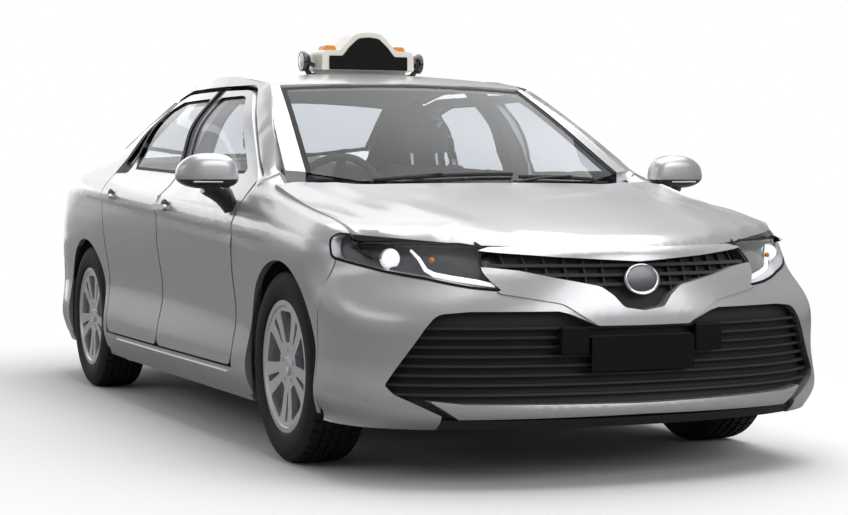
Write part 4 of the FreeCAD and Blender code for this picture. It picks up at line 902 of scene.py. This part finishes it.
@dataclass
class Headlamps:
    """Clear lens, dark bowl, projector, light guide and turn lamp of each headlamp."""

    lens_depth: float = 0.0016
    edge_band: float = 0.009
    edge_proud: float = 0.0006
    edge_depth: float = 0.0008
    bowl_depth: float = 0.045
    bowl_inward: float = 0.35
    projector: Point = (2.034, 0.714, 0.724)
    projector_radius: float = 0.028
    guide: tuple[Point, ...] = ((2.093, 0.668, 0.752), (2.118, 0.650, 0.726), (2.142, 0.636, 0.690),
                                (2.166, 0.618, 0.676), (2.210, 0.572, 0.665), (2.260, 0.510, 0.654),
                                (2.292, 0.462, 0.644))
    guide_radii: tuple[float, ...] = (0.004, 0.0055, 0.007, 0.008, 0.0085, 0.0085, 0.006)
    ring: Rows = ((-4, 28), (4, 28), (6, 34), (-6, 34), (-4, 28))
    ring_back: float = 0.002
    aim: Point = (0.80, 0.60, 0.0)
    turn_lamp: Point = (2.165, 0.625, 0.722)
    turn_lamp_radius: float = 0.009
    fin_reach: Point = (0.05, -0.045, -0.035)
    fin_flat: float = 0.12
    fins: tuple[tuple[float, float, float, float], ...] = (
        (-0.115, 0.085, 0.036, 0.026), (-0.075, 0.062, 0.026, 0.020),
    )

    def build(self) -> None:
        """Builds both headlamps."""
        for side, name in SIDES:
            lens = self._front("headlamp_lens_" + name, side)
            edge = Piece("headlamp_edge_" + name)
            edge.mesh = lens.mesh.copy()
            edge.mesh.normal_update()
            edge.border(self.edge_band)
            for vert in edge.mesh.verts:
                vert.co += vert.normal * self.edge_proud
            edge.thicken(self.edge_depth).smooth(35).place("body", SEAL)
            lens.thicken(self.lens_depth)
            lens.smooth(35).place("body", LAMP_CLEAR, ("headlamps",) if side > 0 else ())
            bowl = self._front("headlamp_bowl_" + name, side)
            bowl.mesh.normal_update()
            for vert in bowl.mesh.verts:
                vert.co -= vert.normal * 2 * self.lens_depth
            front = bowl.mesh.faces[:]
            made = bmesh.ops.extrude_face_region(bowl.mesh, geom=front, use_keep_orig=True)
            for vert in new_corners(made):
                vert.co.x -= self.bowl_depth
                vert.co.y -= side * self.bowl_depth * self.bowl_inward
            bmesh.ops.delete(bowl.mesh, geom=[face for face in front if face.is_valid], context="FACES_ONLY")
            bowl.smooth(35).place("body", BOWL)
            self._inside(side, name)

    @staticmethod
    def _front(name: str, side: int) -> Piece:
        """Returns the front faces of one side's lamp as a new piece."""
        piece = Piece(name).add_copy("headlamps")
        return piece.keep(lambda spot, normal: spot.y * side > 0 and abs(normal.y) > 0.03
                          and normal.x + side * normal.y > 0)

    def _inside(self, side: int, name: str) -> None:
        """Builds what shows through one lens.

        Args:
            side: 1 for the left and -1 for the right.
            name: The side's name.
        """
        x, y, z = self.projector
        bulb = Piece("projector_" + name).ball((x, side * y, z), self.projector_radius, segments=32)
        bulb.smooth(60).place("body", LIT_WHITE)
        ring = Piece("projector_ring_" + name).lathe(self.ring, (0, 0, 0), 40)
        way = Vector((self.aim[0], side * self.aim[1], self.aim[2]))
        ring.turn(Matrix.Translation((x - self.ring_back, side * y, z))
                  @ way.to_track_quat("Y", "Z").to_matrix().to_4x4())
        ring.smooth(40).place("body", CHROME)
        path = [(px, side * py, pz) for px, py, pz in self.guide]
        guide = Piece("light_guide_" + name).tube(path, self.guide_radii, 12)
        guide.smooth(60).place("body", LIT_WHITE)
        rx, ry, rz = self.fin_reach
        for k, (dx, dy, dz, wide) in enumerate(self.fins):
            fin = Piece(f"lamp_fin_{k + 1}_{name}")
            fin.tube([(x + dx, side * (y + dy), z + dz), (x + dx + rx, side * (y + dy + ry), z + dz + rz)],
                     wide, 4, self.fin_flat)
            fin.smooth(20).place("body", FIN)
        tx, ty, tz = self.turn_lamp
        lamp = Piece("turn_lamp_" + name).ball((tx, side * ty, tz), self.turn_lamp_radius)
        lamp.smooth(60).place("body", LIT_AMBER)


@dataclass
class RoofSign:
    """Round side lamps of the roof sign on their curved stalks."""

    height: float = 1.486
    reach: float = 0.268
    along: float = -0.070
    dome: Rows = ((5, 0.01), (4.6, 14), (3, 26), (0.5, 35), (-2, 38), (-4, 38))
    cup: Rows = ((0, 37.5), (1.5, 39), (0.5, 42.5), (-4, 43.8), (-14, 42), (-24, 34),
                                            (-31, 20), (-34, 9), (-34, 0.01))
    stalk: tuple[Point, ...] = ((0, 0.018, 0.02), (0, 0.022, 0.042), (0.004, 0.034, 0.056),
                                (0.008, 0.062, 0.062))
    stalk_radius: float = 0.011

    def build(self) -> None:
        """Builds the side lamps with their pale lenses."""
        whole = Piece("sign_lamps_dressed").add_copy("sign_lamps")
        whole.smooth(32).place("body", GLOSS_BLACK, ("sign_lamps",))
        low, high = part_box("sign_lamps")
        for side, name in SIDES:
            centre = (self.along, high.y if side > 0 else low.y, self.height)
            lens = Piece("sign_lens_" + name).lathe(self.dome, centre, 40, side)
            lens.smooth(40).place("body", PALE_LENS)
            Piece("sign_cup_" + name).lathe(self.cup, centre, 48, side).smooth(40).place("body", GLOSS_BLACK)
            stalk = [(self.along - x, side * (self.reach - y), self.height - z) for x, y, z in self.stalk]
            Piece("sign_stalk_" + name).tube(stalk, self.stalk_radius, 16).smooth(60).place("body", BLACK)


@dataclass
class Mirrors:
    """Door mirrors: silver upper shell, black lower shell, lamp strip, glass and foot."""

    middle: Point = (0.908, 0.990, 1.012)
    half: Point = (0.062, 0.115, 0.066)
    split: float = 0.981
    power: float = 0.62
    back: float = 0.020
    end_taper: float = 0.25
    top_out: float = 0.34
    top_in: float = 0.16
    splay: float = 0.10
    rim: float = 0.006
    glass_step: float = 0.002
    glass_sunk: float = 0.007
    strip_steps: int = 9
    strip_half: float = 0.055
    strip_inner: float = 0.045
    strip_drop: float = 0.009
    strip_sunk: float = 0.0015
    strip_radius: float = 0.0034
    foot: tuple[Point, ...] = ((0.004, 0.992, 0.966), (0.004, 0.968, 0.955), (0.005, 0.944, 0.940),
                               (0.006, 0.922, 0.918), (0.008, 0.905, 0.892), (0.009, 0.893, 0.868))
    foot_radii: tuple[float, ...] = (0.044, 0.047, 0.046, 0.041, 0.035, 0.030)

    def build(self) -> None:
        """Builds both mirrors."""
        for side, name in SIDES:
            body = "door_front_" + name
            self._shell(side, name, body)
            cx, cy, cz = self.middle
            foot = Piece("mirror_foot_" + name)
            foot.tube([(cx - x, side * y, z) for x, y, z in self.foot], self.foot_radii, 28, 0.92)
            foot.smooth(50).place(body, GLOSS_BLACK)
            strip = []
            drop = self.split - self.strip_drop - cz
            for k in range(self.strip_steps):
                across = self.strip_half * k / 4 - self.strip_inner
                lean = abs(across / self.half[1]) ** (1 / self.power)
                sink = abs(drop / self.half[2]) ** (1 / self.power)
                out = max(0.01, 1 - lean ** 2 - sink ** 2) ** (self.power / 2) * self.half[0]
                strip.append((cx + out - self.strip_sunk, side * (cy + across), cz + drop))
            Piece("mirror_lamp_" + name).tube(strip, self.strip_radius, 10).smooth(60).place(body, PALE_LENS)

    def _shell(self, side: int, name: str, body: str) -> None:
        """Builds the shell with its glass.

        Args:
            side: 1 for the left and -1 for the right.
            name: The side's name.
            body: The door that carries the mirror.
        """
        cx, cy, cz = self.middle
        ax, ay, az = self.half
        shell = Piece("mirror_shell_" + name).ball((0, 0, 0), 1.0, segments=64)
        for vert in shell.mesh.verts:
            x, y, z = (math.copysign(abs(c) ** self.power, c) for c in vert.co)
            end = 1 - self.end_taper * max(0, y) ** 2
            top = 1 - self.top_out * max(0, y) ** 2 - self.top_in * max(0, -y) ** 4 if z > 0 else end
            vert.co = (cx + ax * x * end, side * (cy + ay * y * (1 - self.splay * z)), cz + az * z * top)
        shell.slice((0, 0, self.split), (0, 0, 1))
        whole = shell.mesh.verts[:] + shell.mesh.edges[:] + shell.mesh.faces[:]
        bmesh.ops.bisect_plane(shell.mesh, geom=whole, plane_co=(cx - self.back, 0, 0), plane_no=(-1, 0, 0),
                               clear_outer=True)
        rim = [edge for edge in shell.mesh.edges if edge.is_boundary]
        bmesh.ops.contextual_create(shell.mesh, geom=rim)
        bmesh.ops.recalc_face_normals(shell.mesh, faces=shell.mesh.faces)
        cap = [face for face in shell.mesh.faces if face.normal.x < -0.98 and len(face.verts) > 20]
        bmesh.ops.inset_region(shell.mesh, faces=cap, thickness=self.rim)
        bmesh.ops.inset_region(shell.mesh, faces=cap, thickness=self.glass_step, depth=-self.glass_sunk)
        shell.dress(GLOSS_BLACK, lambda spot, normal: spot.z < self.split)
        shell.finishes.append(MIRROR_GLASS)
        for face in cap:
            face.material_index = len(shell.finishes)
        shell.smooth(35).place(body, PAINT, ("mirror_" + name,))


@dataclass
class FrontTrim:
    """Plain badge disc and plate corners."""

    badge: Point = (2.4065, 0.002, 0.661)
    wide: float = 1.18
    tall: float = 0.92
    disc: Rows = ((7, 0.01), (6.6, 22), (5, 38), (3.6, 44), (5.4, 46.5), (5.6, 51),
                                             (3.2, 54), (-3, 54), (-3, 0.01))
    dark_radius: float = 0.0425
    tilt: float = -8.0
    corner_low: Point = (2.402, 0.192, 0.428)
    corner_high: Point = (2.424, 0.292, 0.516)
    corner_bevel: float = 0.006

    def build(self) -> None:
        """Builds the trim of the front end."""
        disc = Piece("front_badge").lathe(self.disc, (0, 0, 0), 64)
        lean = Matrix.Rotation(math.radians(self.tilt), 4, "Y") @ Matrix.Rotation(math.radians(-90), 4, "Z")
        disc.turn(Matrix.Translation(self.badge) @ lean @ Matrix.Diagonal((self.wide, 1, self.tall, 1)))
        disc.dress(DARK_METAL, lambda spot, normal: math.hypot(
            (spot.y - self.badge[1]) / self.wide, (spot.z - self.badge[2]) / self.tall) < self.dark_radius)
        disc.smooth(40).place("body", BADGE)
        for side, name in SIDES:
            corner = Piece("plate_mount_" + name)
            low, high = ((x, side * y, z) for x, y, z in (self.corner_low, self.corner_high))
            corner.block(low, high, self.corner_bevel)
            bmesh.ops.recalc_face_normals(corner.mesh, faces=corner.mesh.faces)
            corner.smooth(40).place("body", PLATE)


@dataclass
class LuggageLining:
    """Curved lining over the inner arch at each side of the luggage space."""

    front: float = -1.02
    back: float = -1.72
    foot: float = 0.34
    top: float = 0.90
    inner: float = 0.535
    outer: float = 0.60
    depth: float = 0.003

    def build(self) -> None:
        """Builds a bulged sheet with a wall thickness on each side."""
        for side, name in SIDES:
            sheet = Piece("luggage_lining_" + name)
            bmesh.ops.create_grid(sheet.mesh, x_segments=20, y_segments=14, size=0.5)
            for vert in sheet.mesh.verts:
                u, v = vert.co.x, vert.co.y
                bulge = (1 - (2 * u) ** 4) * (1 - (2 * v) ** 4)
                vert.co = (self.back + (self.front - self.back) * (u + 0.5),
                           side * (self.outer - (self.outer - self.inner) * bulge),
                           self.foot + (self.top - self.foot) * (v + 0.5))
            sheet.thicken(self.depth).smooth(40).place("body", TRIM)


@dataclass
class Wipers:
    """Two wipers parked along the foot of the windscreen."""

    rows: tuple[tuple[float, float, float], ...] = ((-0.52, -0.47, 0.12), (0.10, 0.14, 0.60))
    proud: float = 0.010
    steps: int = 12
    height: float = 0.984
    rise: float = 0.010
    bow: float = 0.08
    pivot_height: float = 0.974
    pivot_shift: Point = (0.03, 0.0, -0.012)
    joint_shift: Point = (0.010, 0.0, 0.008)
    bend_shift: Point = (0.006, 0.0, 0.006)
    arm_radii: tuple[float, ...] = (0.011, 0.008, 0.006)
    blade_radius: float = 0.005
    glass_lean: Point = (0.5, 0.0, 0.86)
    glass_front: float = 1.06

    def build(self) -> None:
        """Builds each arm and its blade on the surface of the glass."""
        glass = Piece("probe").add_copy("windscreen")
        tree = BVHTree.FromBMesh(glass.mesh)
        for k, (pivot, start, end) in enumerate(self.rows):
            path = []
            for step in range(self.steps + 1):
                y = start + (end - start) * step / self.steps
                height = self.height + self.rise * step / self.steps - self.bow * y * y
                path.append(self._on_glass(tree, y, height))
            blade = Piece(f"wiper_blade_{k + 1}").tube(path, self.blade_radius, 8, 1.4)
            blade.smooth(50).place("body", BLACK)
            root = self._on_glass(tree, pivot, self.pivot_height) + Vector(self.pivot_shift)
            joint = path[self.steps // 2] + Vector(self.joint_shift)
            bend = (root + joint) / 2 + Vector(self.bend_shift)
            arm = Piece(f"wiper_arm_{k + 1}").tube([root, bend, joint], self.arm_radii, 10, 0.6)
            arm.smooth(50).place("body", BLACK)
        glass.mesh.free()

    def _on_glass(self, tree: BVHTree, y: float, z: float) -> Vector:
        """Returns the point just over the glass at a width and height."""
        hit, _, _, _ = tree.ray_cast(Vector((2.5, y, z)), Vector((-1, 0, 0)))
        if hit is None:
            return Vector((self.glass_front, y, z))
        return hit + Vector(self.glass_lean) * self.proud


@dataclass
class SillHighlightStrips:
    """Painted highlight: bright strips along the foot of the doors, standing in for the highlight on the sill's
    upper edge.
    """

    start: float = -0.74
    stop: float = 0.985
    height: float = 0.268
    proud: float = 0.0015
    radius: float = 0.0062
    steps: int = 24

    def build(self) -> None:
        """Builds a bright strip of painted highlight on each sill."""
        sill = Piece("probe").add_copy("sills")
        tree = BVHTree.FromBMesh(sill.mesh)
        for side, name in SIDES:
            path = []
            for step in range(self.steps + 1):
                x = self.start + (self.stop - self.start) * step / self.steps
                hit = tree.ray_cast(Vector((x, side * 1.3, self.height)), Vector((0, -side, 0)))[0]
                if hit is not None:
                    path.append(hit + Vector((0, side * self.proud, 0)))
            # Painted highlight: the bright tube stands in for the highlight along the sill's upper edge.
            Piece("sill_painted_highlight_" + name).tube(path, self.radius, 10, 0.6).smooth(50).place("body", SILL_PAINTED_HIGHLIGHT)
        sill.mesh.free()


@dataclass
class Handles:
    """Painted shade: dark ovals sunk behind the door handles, standing in for the shade in the handle recesses.
    """

    rows: tuple[tuple[str, float, float], ...] = (("front", 0.068, 0.871), ("rear", -0.832, 0.909))
    half: Point = (0.058, 0.0035, 0.027)
    sunk: float = 0.0305
    rise: float = 0.004

    def build(self) -> None:
        """Builds a dark oval of painted shade for each door."""
        for end, x, z in self.rows:
            for side, name in SIDES:
                node = f"door_{end}_{name}"
                low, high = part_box(node)
                skin = (high.y if side > 0 else -low.y) - self.sunk
                # Painted shade: the dark oval stands in for the shade in the recess behind the handle.
                recess_shade = Piece(node + "_hollow").ball((x, side * skin, z + self.rise), 1.0, self.half, 32)
                recess_shade.smooth(60).place(node, RECESS_PAINTED_SHADE)


@dataclass(frozen=True)
class Pad:
    """A stuffed piece of a seat.

    A pad taller than upright stands: its grooves lie at heights, and its bolsters rise forwards.
    """

    name: str
    outline: Rows
    half: float
    places: tuple[float, ...]
    swell: float
    taper: float = 0.0
    bolster: float = 0.0
    grooves: tuple[float, ...] = ()
    split: tuple[float, ...] = ()
    fill: float = 0.75
    edge: float = 0.02
    upright: float = 0.3
    taper_from: float = 0.45
    bolster_from: float = 0.55
    bolster_fade: float = 0.3
    groove_reach: float = 0.56
    seam_half: float = 0.007
    seam_depth: float = 0.005
    swell_steps: int = 20
    pressure: float = 4.0

    def build(self, voxel: float) -> None:
        """Makes the stuffed piece once and sets a copy at each place.

        Args:
            voxel: Size of the starting mesh's cells in metres.
        """
        mesh = bmesh.new()
        ring = [mesh.verts.new((x, -self.half, z)) for x, z in self.outline]
        face = mesh.faces.new(ring)
        made = bmesh.ops.extrude_face_region(mesh, geom=[face])
        bmesh.ops.translate(mesh, verts=new_corners(made), vec=(0, 2 * self.half, 0))
        bmesh.ops.recalc_face_normals(mesh, faces=mesh.faces)
        ends = [edge for edge in mesh.edges if edge.calc_face_angle(0) > 0.5]
        bmesh.ops.bevel(mesh, geom=ends, offset=self.edge, affect="EDGES", segments=3, profile=0.5,
                        material=-1)
        data = bpy.data.meshes.new(self.name)
        mesh.to_mesh(data)
        mesh.free()
        pad = add_object(self.name, data)
        cells = pad.modifiers.new("cells", "REMESH")
        cells.mode = "VOXEL"
        cells.voxel_size = voxel
        self._apply(pad)
        self._shape(pad.data)
        self._inflate(pad)
        finer = pad.modifiers.new("finer", "SUBSURF")
        finer.levels = finer.render_levels = 1
        self._apply(pad)
        self._sew(pad.data)
        for k, place in enumerate(self.places):
            piece = Piece(f"{self.name}_{k + 1}")
            piece.mesh.from_mesh(pad.data)
            bmesh.ops.translate(piece.mesh, verts=piece.mesh.verts, vec=(0, place, 0))
            done = piece.smooth(60).place("body", FABRIC, self._nodes(k))
        bpy.data.objects.remove(pad)

    def _nodes(self, k: int) -> tuple[str, ...]:
        """Returns the CAD nodes that the k-th copy stands for."""
        if k:
            return ()
        return {"front_cushion": ("front_seats",), "bench_cushion": ("rear_seat",)}.get(self.name, ())

    @staticmethod
    def _apply(pad: bpy.types.Object) -> None:
        """Bakes the piece's modifiers into its mesh."""
        graph = bpy.context.evaluated_depsgraph_get()
        data = bpy.data.meshes.new_from_object(pad.evaluated_get(graph))
        pad.modifiers.clear()
        pad.data = data

    @staticmethod
    def _span(data: bpy.types.Mesh, axis: int) -> tuple[float, float]:
        """Returns the lowest and highest coordinate of a mesh along an axis."""
        along = [vert.co[axis] for vert in data.vertices]
        return min(along), max(along)

    def _shape(self, data: bpy.types.Mesh) -> None:
        """Narrows the top and lowers the middle between the side bolsters."""
        low, high = self._span(data, 2)
        for vert in data.vertices:
            up = (vert.co.z - low) / (high - low)
            vert.co.y *= 1 - self.taper * max(0, up - self.taper_from) ** 2
            side = min(1, max(0, (abs(vert.co.y) / self.half - self.bolster_from) / self.bolster_fade))
            rise = self.bolster * side * side * (3 - 2 * side)
            if high - low > self.upright:
                vert.co.x += rise if vert.co.x > self._middle(vert.co.z) else 0
            else:
                vert.co.z += rise if up > 0.5 else 0

    def _middle(self, z: float) -> float:
        """Returns the middle of the side outline at a height."""
        hits = []
        for (xa, za), (xb, zb) in zip(self.outline, self.outline[1:] + self.outline[:1]):
            if min(za, zb) <= z <= max(za, zb) and za != zb:
                hits.append(xa + (xb - xa) * (z - za) / (zb - za))
        return sum(hits) / len(hits) if hits else sum(x for x, _ in self.outline) / len(self.outline)

    def _inflate(self, pad: bpy.types.Object) -> None:
        """Swells the piece as cloth over pressure and limits how far each point goes."""
        start = [vert.co.copy() for vert in pad.data.vertices]
        cloth = pad.modifiers.new("swell", "CLOTH")
        cloth.settings.use_pressure = True
        cloth.settings.uniform_pressure_force = self.pressure
        cloth.settings.effector_weights.gravity = 0.0
        cloth.settings.quality = 4
        scene = bpy.context.scene
        for step in range(1, self.swell_steps + 1):
            scene.frame_set(step)
        graph = bpy.context.evaluated_depsgraph_get()
        swollen = [vert.co.copy() for vert in pad.evaluated_get(graph).data.vertices]
        scene.frame_set(1)
        pad.modifiers.clear()
        for vert, old, new in zip(pad.data.vertices, start, swollen):
            move = new - old
            vert.co = old + move * min(1, self.swell / max(move.length, 1e-9))

    def _sew(self, data: bpy.types.Mesh) -> None:
        """Draws the sewn channels in, across the piece and along it."""
        low, high = self._span(data, 2)
        axis = 2 if high - low > self.upright else 0
        first, last = self._span(data, axis)
        for vert in data.vertices:
            depth = 0.0
            if abs(vert.co.y) < self.half * self.groove_reach:
                for row in self.grooves:
                    place = first + (last - first) * row
                    depth = max(depth, 1 - abs(vert.co[axis] - place) / self.seam_half)
            for row in self.split:
                depth = max(depth, 1 - abs(abs(vert.co.y) - self.half * row) / self.seam_half)
            if depth > 0:
                vert.co -= vert.normal * self.seam_depth * depth


@dataclass
class Seats:
    """Two front seats and a rear bench with their head restraints."""

    voxel: float = 0.011
    side: float = 0.365
    post: Rows = ((-0.228, 1.03), (-0.238, 1.13))
    post_offset: float = 0.06
    post_radius: float = 0.0065
    bases: tuple[tuple[Point, Point, float], ...] = (
        ((-0.17, -0.165, 0.235), (0.27, 0.165, 0.425), 0.02),
        ((-0.20, -0.252, 0.36), (0.25, -0.232, 0.45), 0.008),
        ((-0.20, 0.232, 0.36), (0.25, 0.252, 0.45), 0.008),
    )
    pads: tuple[Pad, ...] = (
        Pad("front_cushion", ((-0.165, 0.415), (-0.17, 0.458), (0.05, 0.468), (0.27, 0.492), (0.305, 0.465),
                              (0.29, 0.42)),
            0.235, (-0.365, 0.365), 0.014, bolster=0.022, grooves=(0.3, 0.52, 0.74), split=(0.6,)),
        Pad("front_back", ((-0.18, 0.45), (-0.09, 0.45), (-0.10, 0.60), (-0.125, 0.76), (-0.155, 0.92),
                           (-0.185, 1.06), (-0.25, 1.06), (-0.25, 0.85), (-0.225, 0.60)),
            0.225, (-0.365, 0.365), 0.014, taper=0.75, bolster=0.03, grooves=(0.28, 0.44, 0.60, 0.76),
            split=(0.6,)),
        Pad("front_rest", ((-0.20, 1.10), (-0.215, 1.215), (-0.275, 1.215), (-0.268, 1.10)), 0.118,
            (-0.365, 0.365), 0.012, taper=0.3),
        Pad("bench_cushion", ((-0.53, 0.38), (-0.52, 0.452), (-0.70, 0.446), (-0.90, 0.430), (-0.93, 0.40)),
            0.62, (0.0,), 0.014, bolster=0.012, split=(0.27, 0.72)),
        Pad("bench_back", ((-0.925, 0.47), (-0.99, 0.66), (-1.065, 0.90), (-1.108, 0.915), (-1.09, 0.70),
                           (-1.03, 0.50)), 0.62, (0.0,), 0.014, bolster=0.016, split=(0.27, 0.72)),
        Pad("bench_rest", ((-1.05, 0.955), (-1.07, 1.055), (-1.125, 1.055), (-1.12, 0.955)), 0.115,
            (-0.36, 0.0, 0.36), 0.010, taper=0.3),
    )

    def build(self) -> None:
        """Builds every pad, the posts of the restraints and the seat bases."""
        for pad in self.pads:
            pad.build(self.voxel)
        for k, y in enumerate((-self.side, self.side)):
            posts = Piece(f"rest_posts_{k + 1}")
            for offset in (-self.post_offset, self.post_offset):
                posts.tube([(x, y + offset, z) for x, z in self.post], self.post_radius, 12)
            posts.smooth(60).place("body", CHROME)
            base = Piece(f"seat_base_{k + 1}")
            for (xa, ya, za), (xb, yb, zb), bevel in self.bases:
                base.block((xa, y + ya, za), (xb, y + yb, zb), bevel)
            base.smooth(40).place("body", TRIM)


@dataclass
class Studio:
    """Camera, floor, backdrop and plain soft light."""

    camera_place: Point = (8.027, -3.134, 0.974)
    heading: float = 157.05
    pitch: float = -2.18
    lens: float = 85.0
    floor_half: float = 60.0
    floor_light: tuple[float, float] = (0.30, 0.95)
    sky_light: tuple[float, float] = (0.30, 1.0)
    shadow_scale: Point = (0.26, 0.40, 1.0)
    shadow_fade: tuple[float, float] = (0.75, 1.1)
    lamp_aim: Point = (0.1, 0.0, 0.6)
    # name, place, width, height, watts
    lamps: tuple[tuple[str, Point, float, float, float], ...] = (
        ("overhead", (0.2, 0.9, 4.8), 8.0, 5.0, 275),
        ("front", (9.5, 3.0, 4.6), 7.0, 4.0, 235),
        ("rear", (-9.0, -1.5, 5.4), 12.0, 4.0, 150),
        ("horizon", (-12.0, -2.5, 3.5), 16.0, 2.6, 110),
        ("shoulder", (-12.0, 0.4, 1.5), 6.4, 2.8, 105),
        ("side", (1.5, -9.0, 5.0), 9.0, 2.4, 70),
    )

    def build(self) -> None:
        """Builds the stage and the lights."""
        self._camera()
        self._floor()
        self._world()
        self._lamps()
        bpy.context.scene.view_settings.view_transform = "Standard"

    def _camera(self) -> None:
        """Sets the camera where the object is seen from."""
        data = bpy.data.cameras.new("camera")
        data.lens = self.lens
        data.sensor_width = 36.0
        data.clip_end = 400.0
        made = add_object("camera", data)
        turn, rise = math.radians(self.heading), math.radians(self.pitch)
        ahead = Vector((math.cos(rise) * math.cos(turn), math.cos(rise) * math.sin(turn), math.sin(rise)))
        made.rotation_euler = ahead.to_track_quat("-Z", "Y").to_euler()
        made.location = self.camera_place
        bpy.context.scene.camera = made

    def _floor(self) -> None:
        """Lays the pale floor that keeps the object's shadow."""
        mesh = bmesh.new()
        bmesh.ops.create_grid(mesh, x_segments=2, y_segments=2, size=self.floor_half)
        data = bpy.data.meshes.new("floor")
        mesh.to_mesh(data)
        mesh.free()
        made = add_object("floor", data)
        data.materials.append(self._floor_finish())

    def _floor_finish(self) -> bpy.types.Material:
        """Returns the floor's material.

        It keeps a soft shadow near the object and is plain white further out.
        """
        made = bpy.data.materials.new("studio_floor")
        made.use_nodes = True
        tree = made.node_tree
        seen = add_node(tree, "ShaderNodeLightPath").outputs["Is Camera Ray"]
        shade = add_node(tree, "ShaderNodeMapRange", {"To Min": self.floor_light[0],
                                                      "To Max": self.floor_light[1], "Value": seen})
        shader = fill(tree.nodes["Principled BSDF"], {"Roughness": 1.0, "Specular IOR Level": 0.0,
                                                      "Base Color": shade.outputs[0]})
        place = add_node(tree, "ShaderNodeTexCoord")
        mapping = add_node(tree, "ShaderNodeMapping",
                           {"Scale": self.shadow_scale, "Vector": place.outputs["Object"]})
        reach = add_node(tree, "ShaderNodeVectorMath", {0: mapping.outputs["Vector"]}, operation="LENGTH")
        fade = add_node(tree, "ShaderNodeMapRange",
                        {"From Min": self.shadow_fade[0], "From Max": self.shadow_fade[1],
                         "Value": reach.outputs["Value"]}, interpolation_type="SMOOTHSTEP")
        far = calculate(tree, "MULTIPLY", fade.outputs[0], seen)
        white = add_node(tree, "ShaderNodeEmission", {"Color": (1, 1, 1, 1)})
        both = add_node(tree, "ShaderNodeMixShader", {0: far, 1: shader.outputs[0], 2: white.outputs[0]})
        fill(tree.nodes["Material Output"], {"Surface": both.outputs[0]})
        return made

    def _world(self) -> None:
        """Sets a soft sky that shows white behind the object."""
        world = bpy.data.worlds.new("studio")
        bpy.context.scene.world = world
        world.use_nodes = True
        tree = world.node_tree
        path = add_node(tree, "ShaderNodeLightPath")
        seen = calculate(tree, "MAXIMUM", path.outputs["Is Camera Ray"], path.outputs["Is Transmission Ray"])
        level = add_node(tree, "ShaderNodeMapRange", {"To Min": self.sky_light[0],
                                                      "To Max": self.sky_light[1], "Value": seen})
        fill(tree.nodes["Background"], {"Color": (1.0, 1.0, 1.0, 1), "Strength": level.outputs[0]})

    def _lamps(self) -> None:
        """Hangs large soft lamps round the object; the camera and the glass don't show them."""
        for name, spot, width, height, watts in self.lamps:
            data = bpy.data.lights.new(name, "AREA")
            data.shape = "RECTANGLE"
            data.size = width
            data.size_y = height
            data.energy = watts
            made = add_object(name, data)
            made.location = spot
            made.visible_camera = made.visible_transmission = False
            aim = Vector(self.lamp_aim) - Vector(spot)
            made.rotation_euler = aim.to_track_quat("-Z", "Y").to_euler()


def main() -> None:
    """Builds the sub-assemblies in order."""
    for part in (Studio(), Shell(), Glass(), Tyres(), WheelTrim(), Headlamps(), RoofSign(), Mirrors(),
                 FrontTrim(), LuggageLining(), Wipers(), SillHighlightStrips(), Handles(), Seats()):
        part.build()


if __name__ == "__main__":
    main()
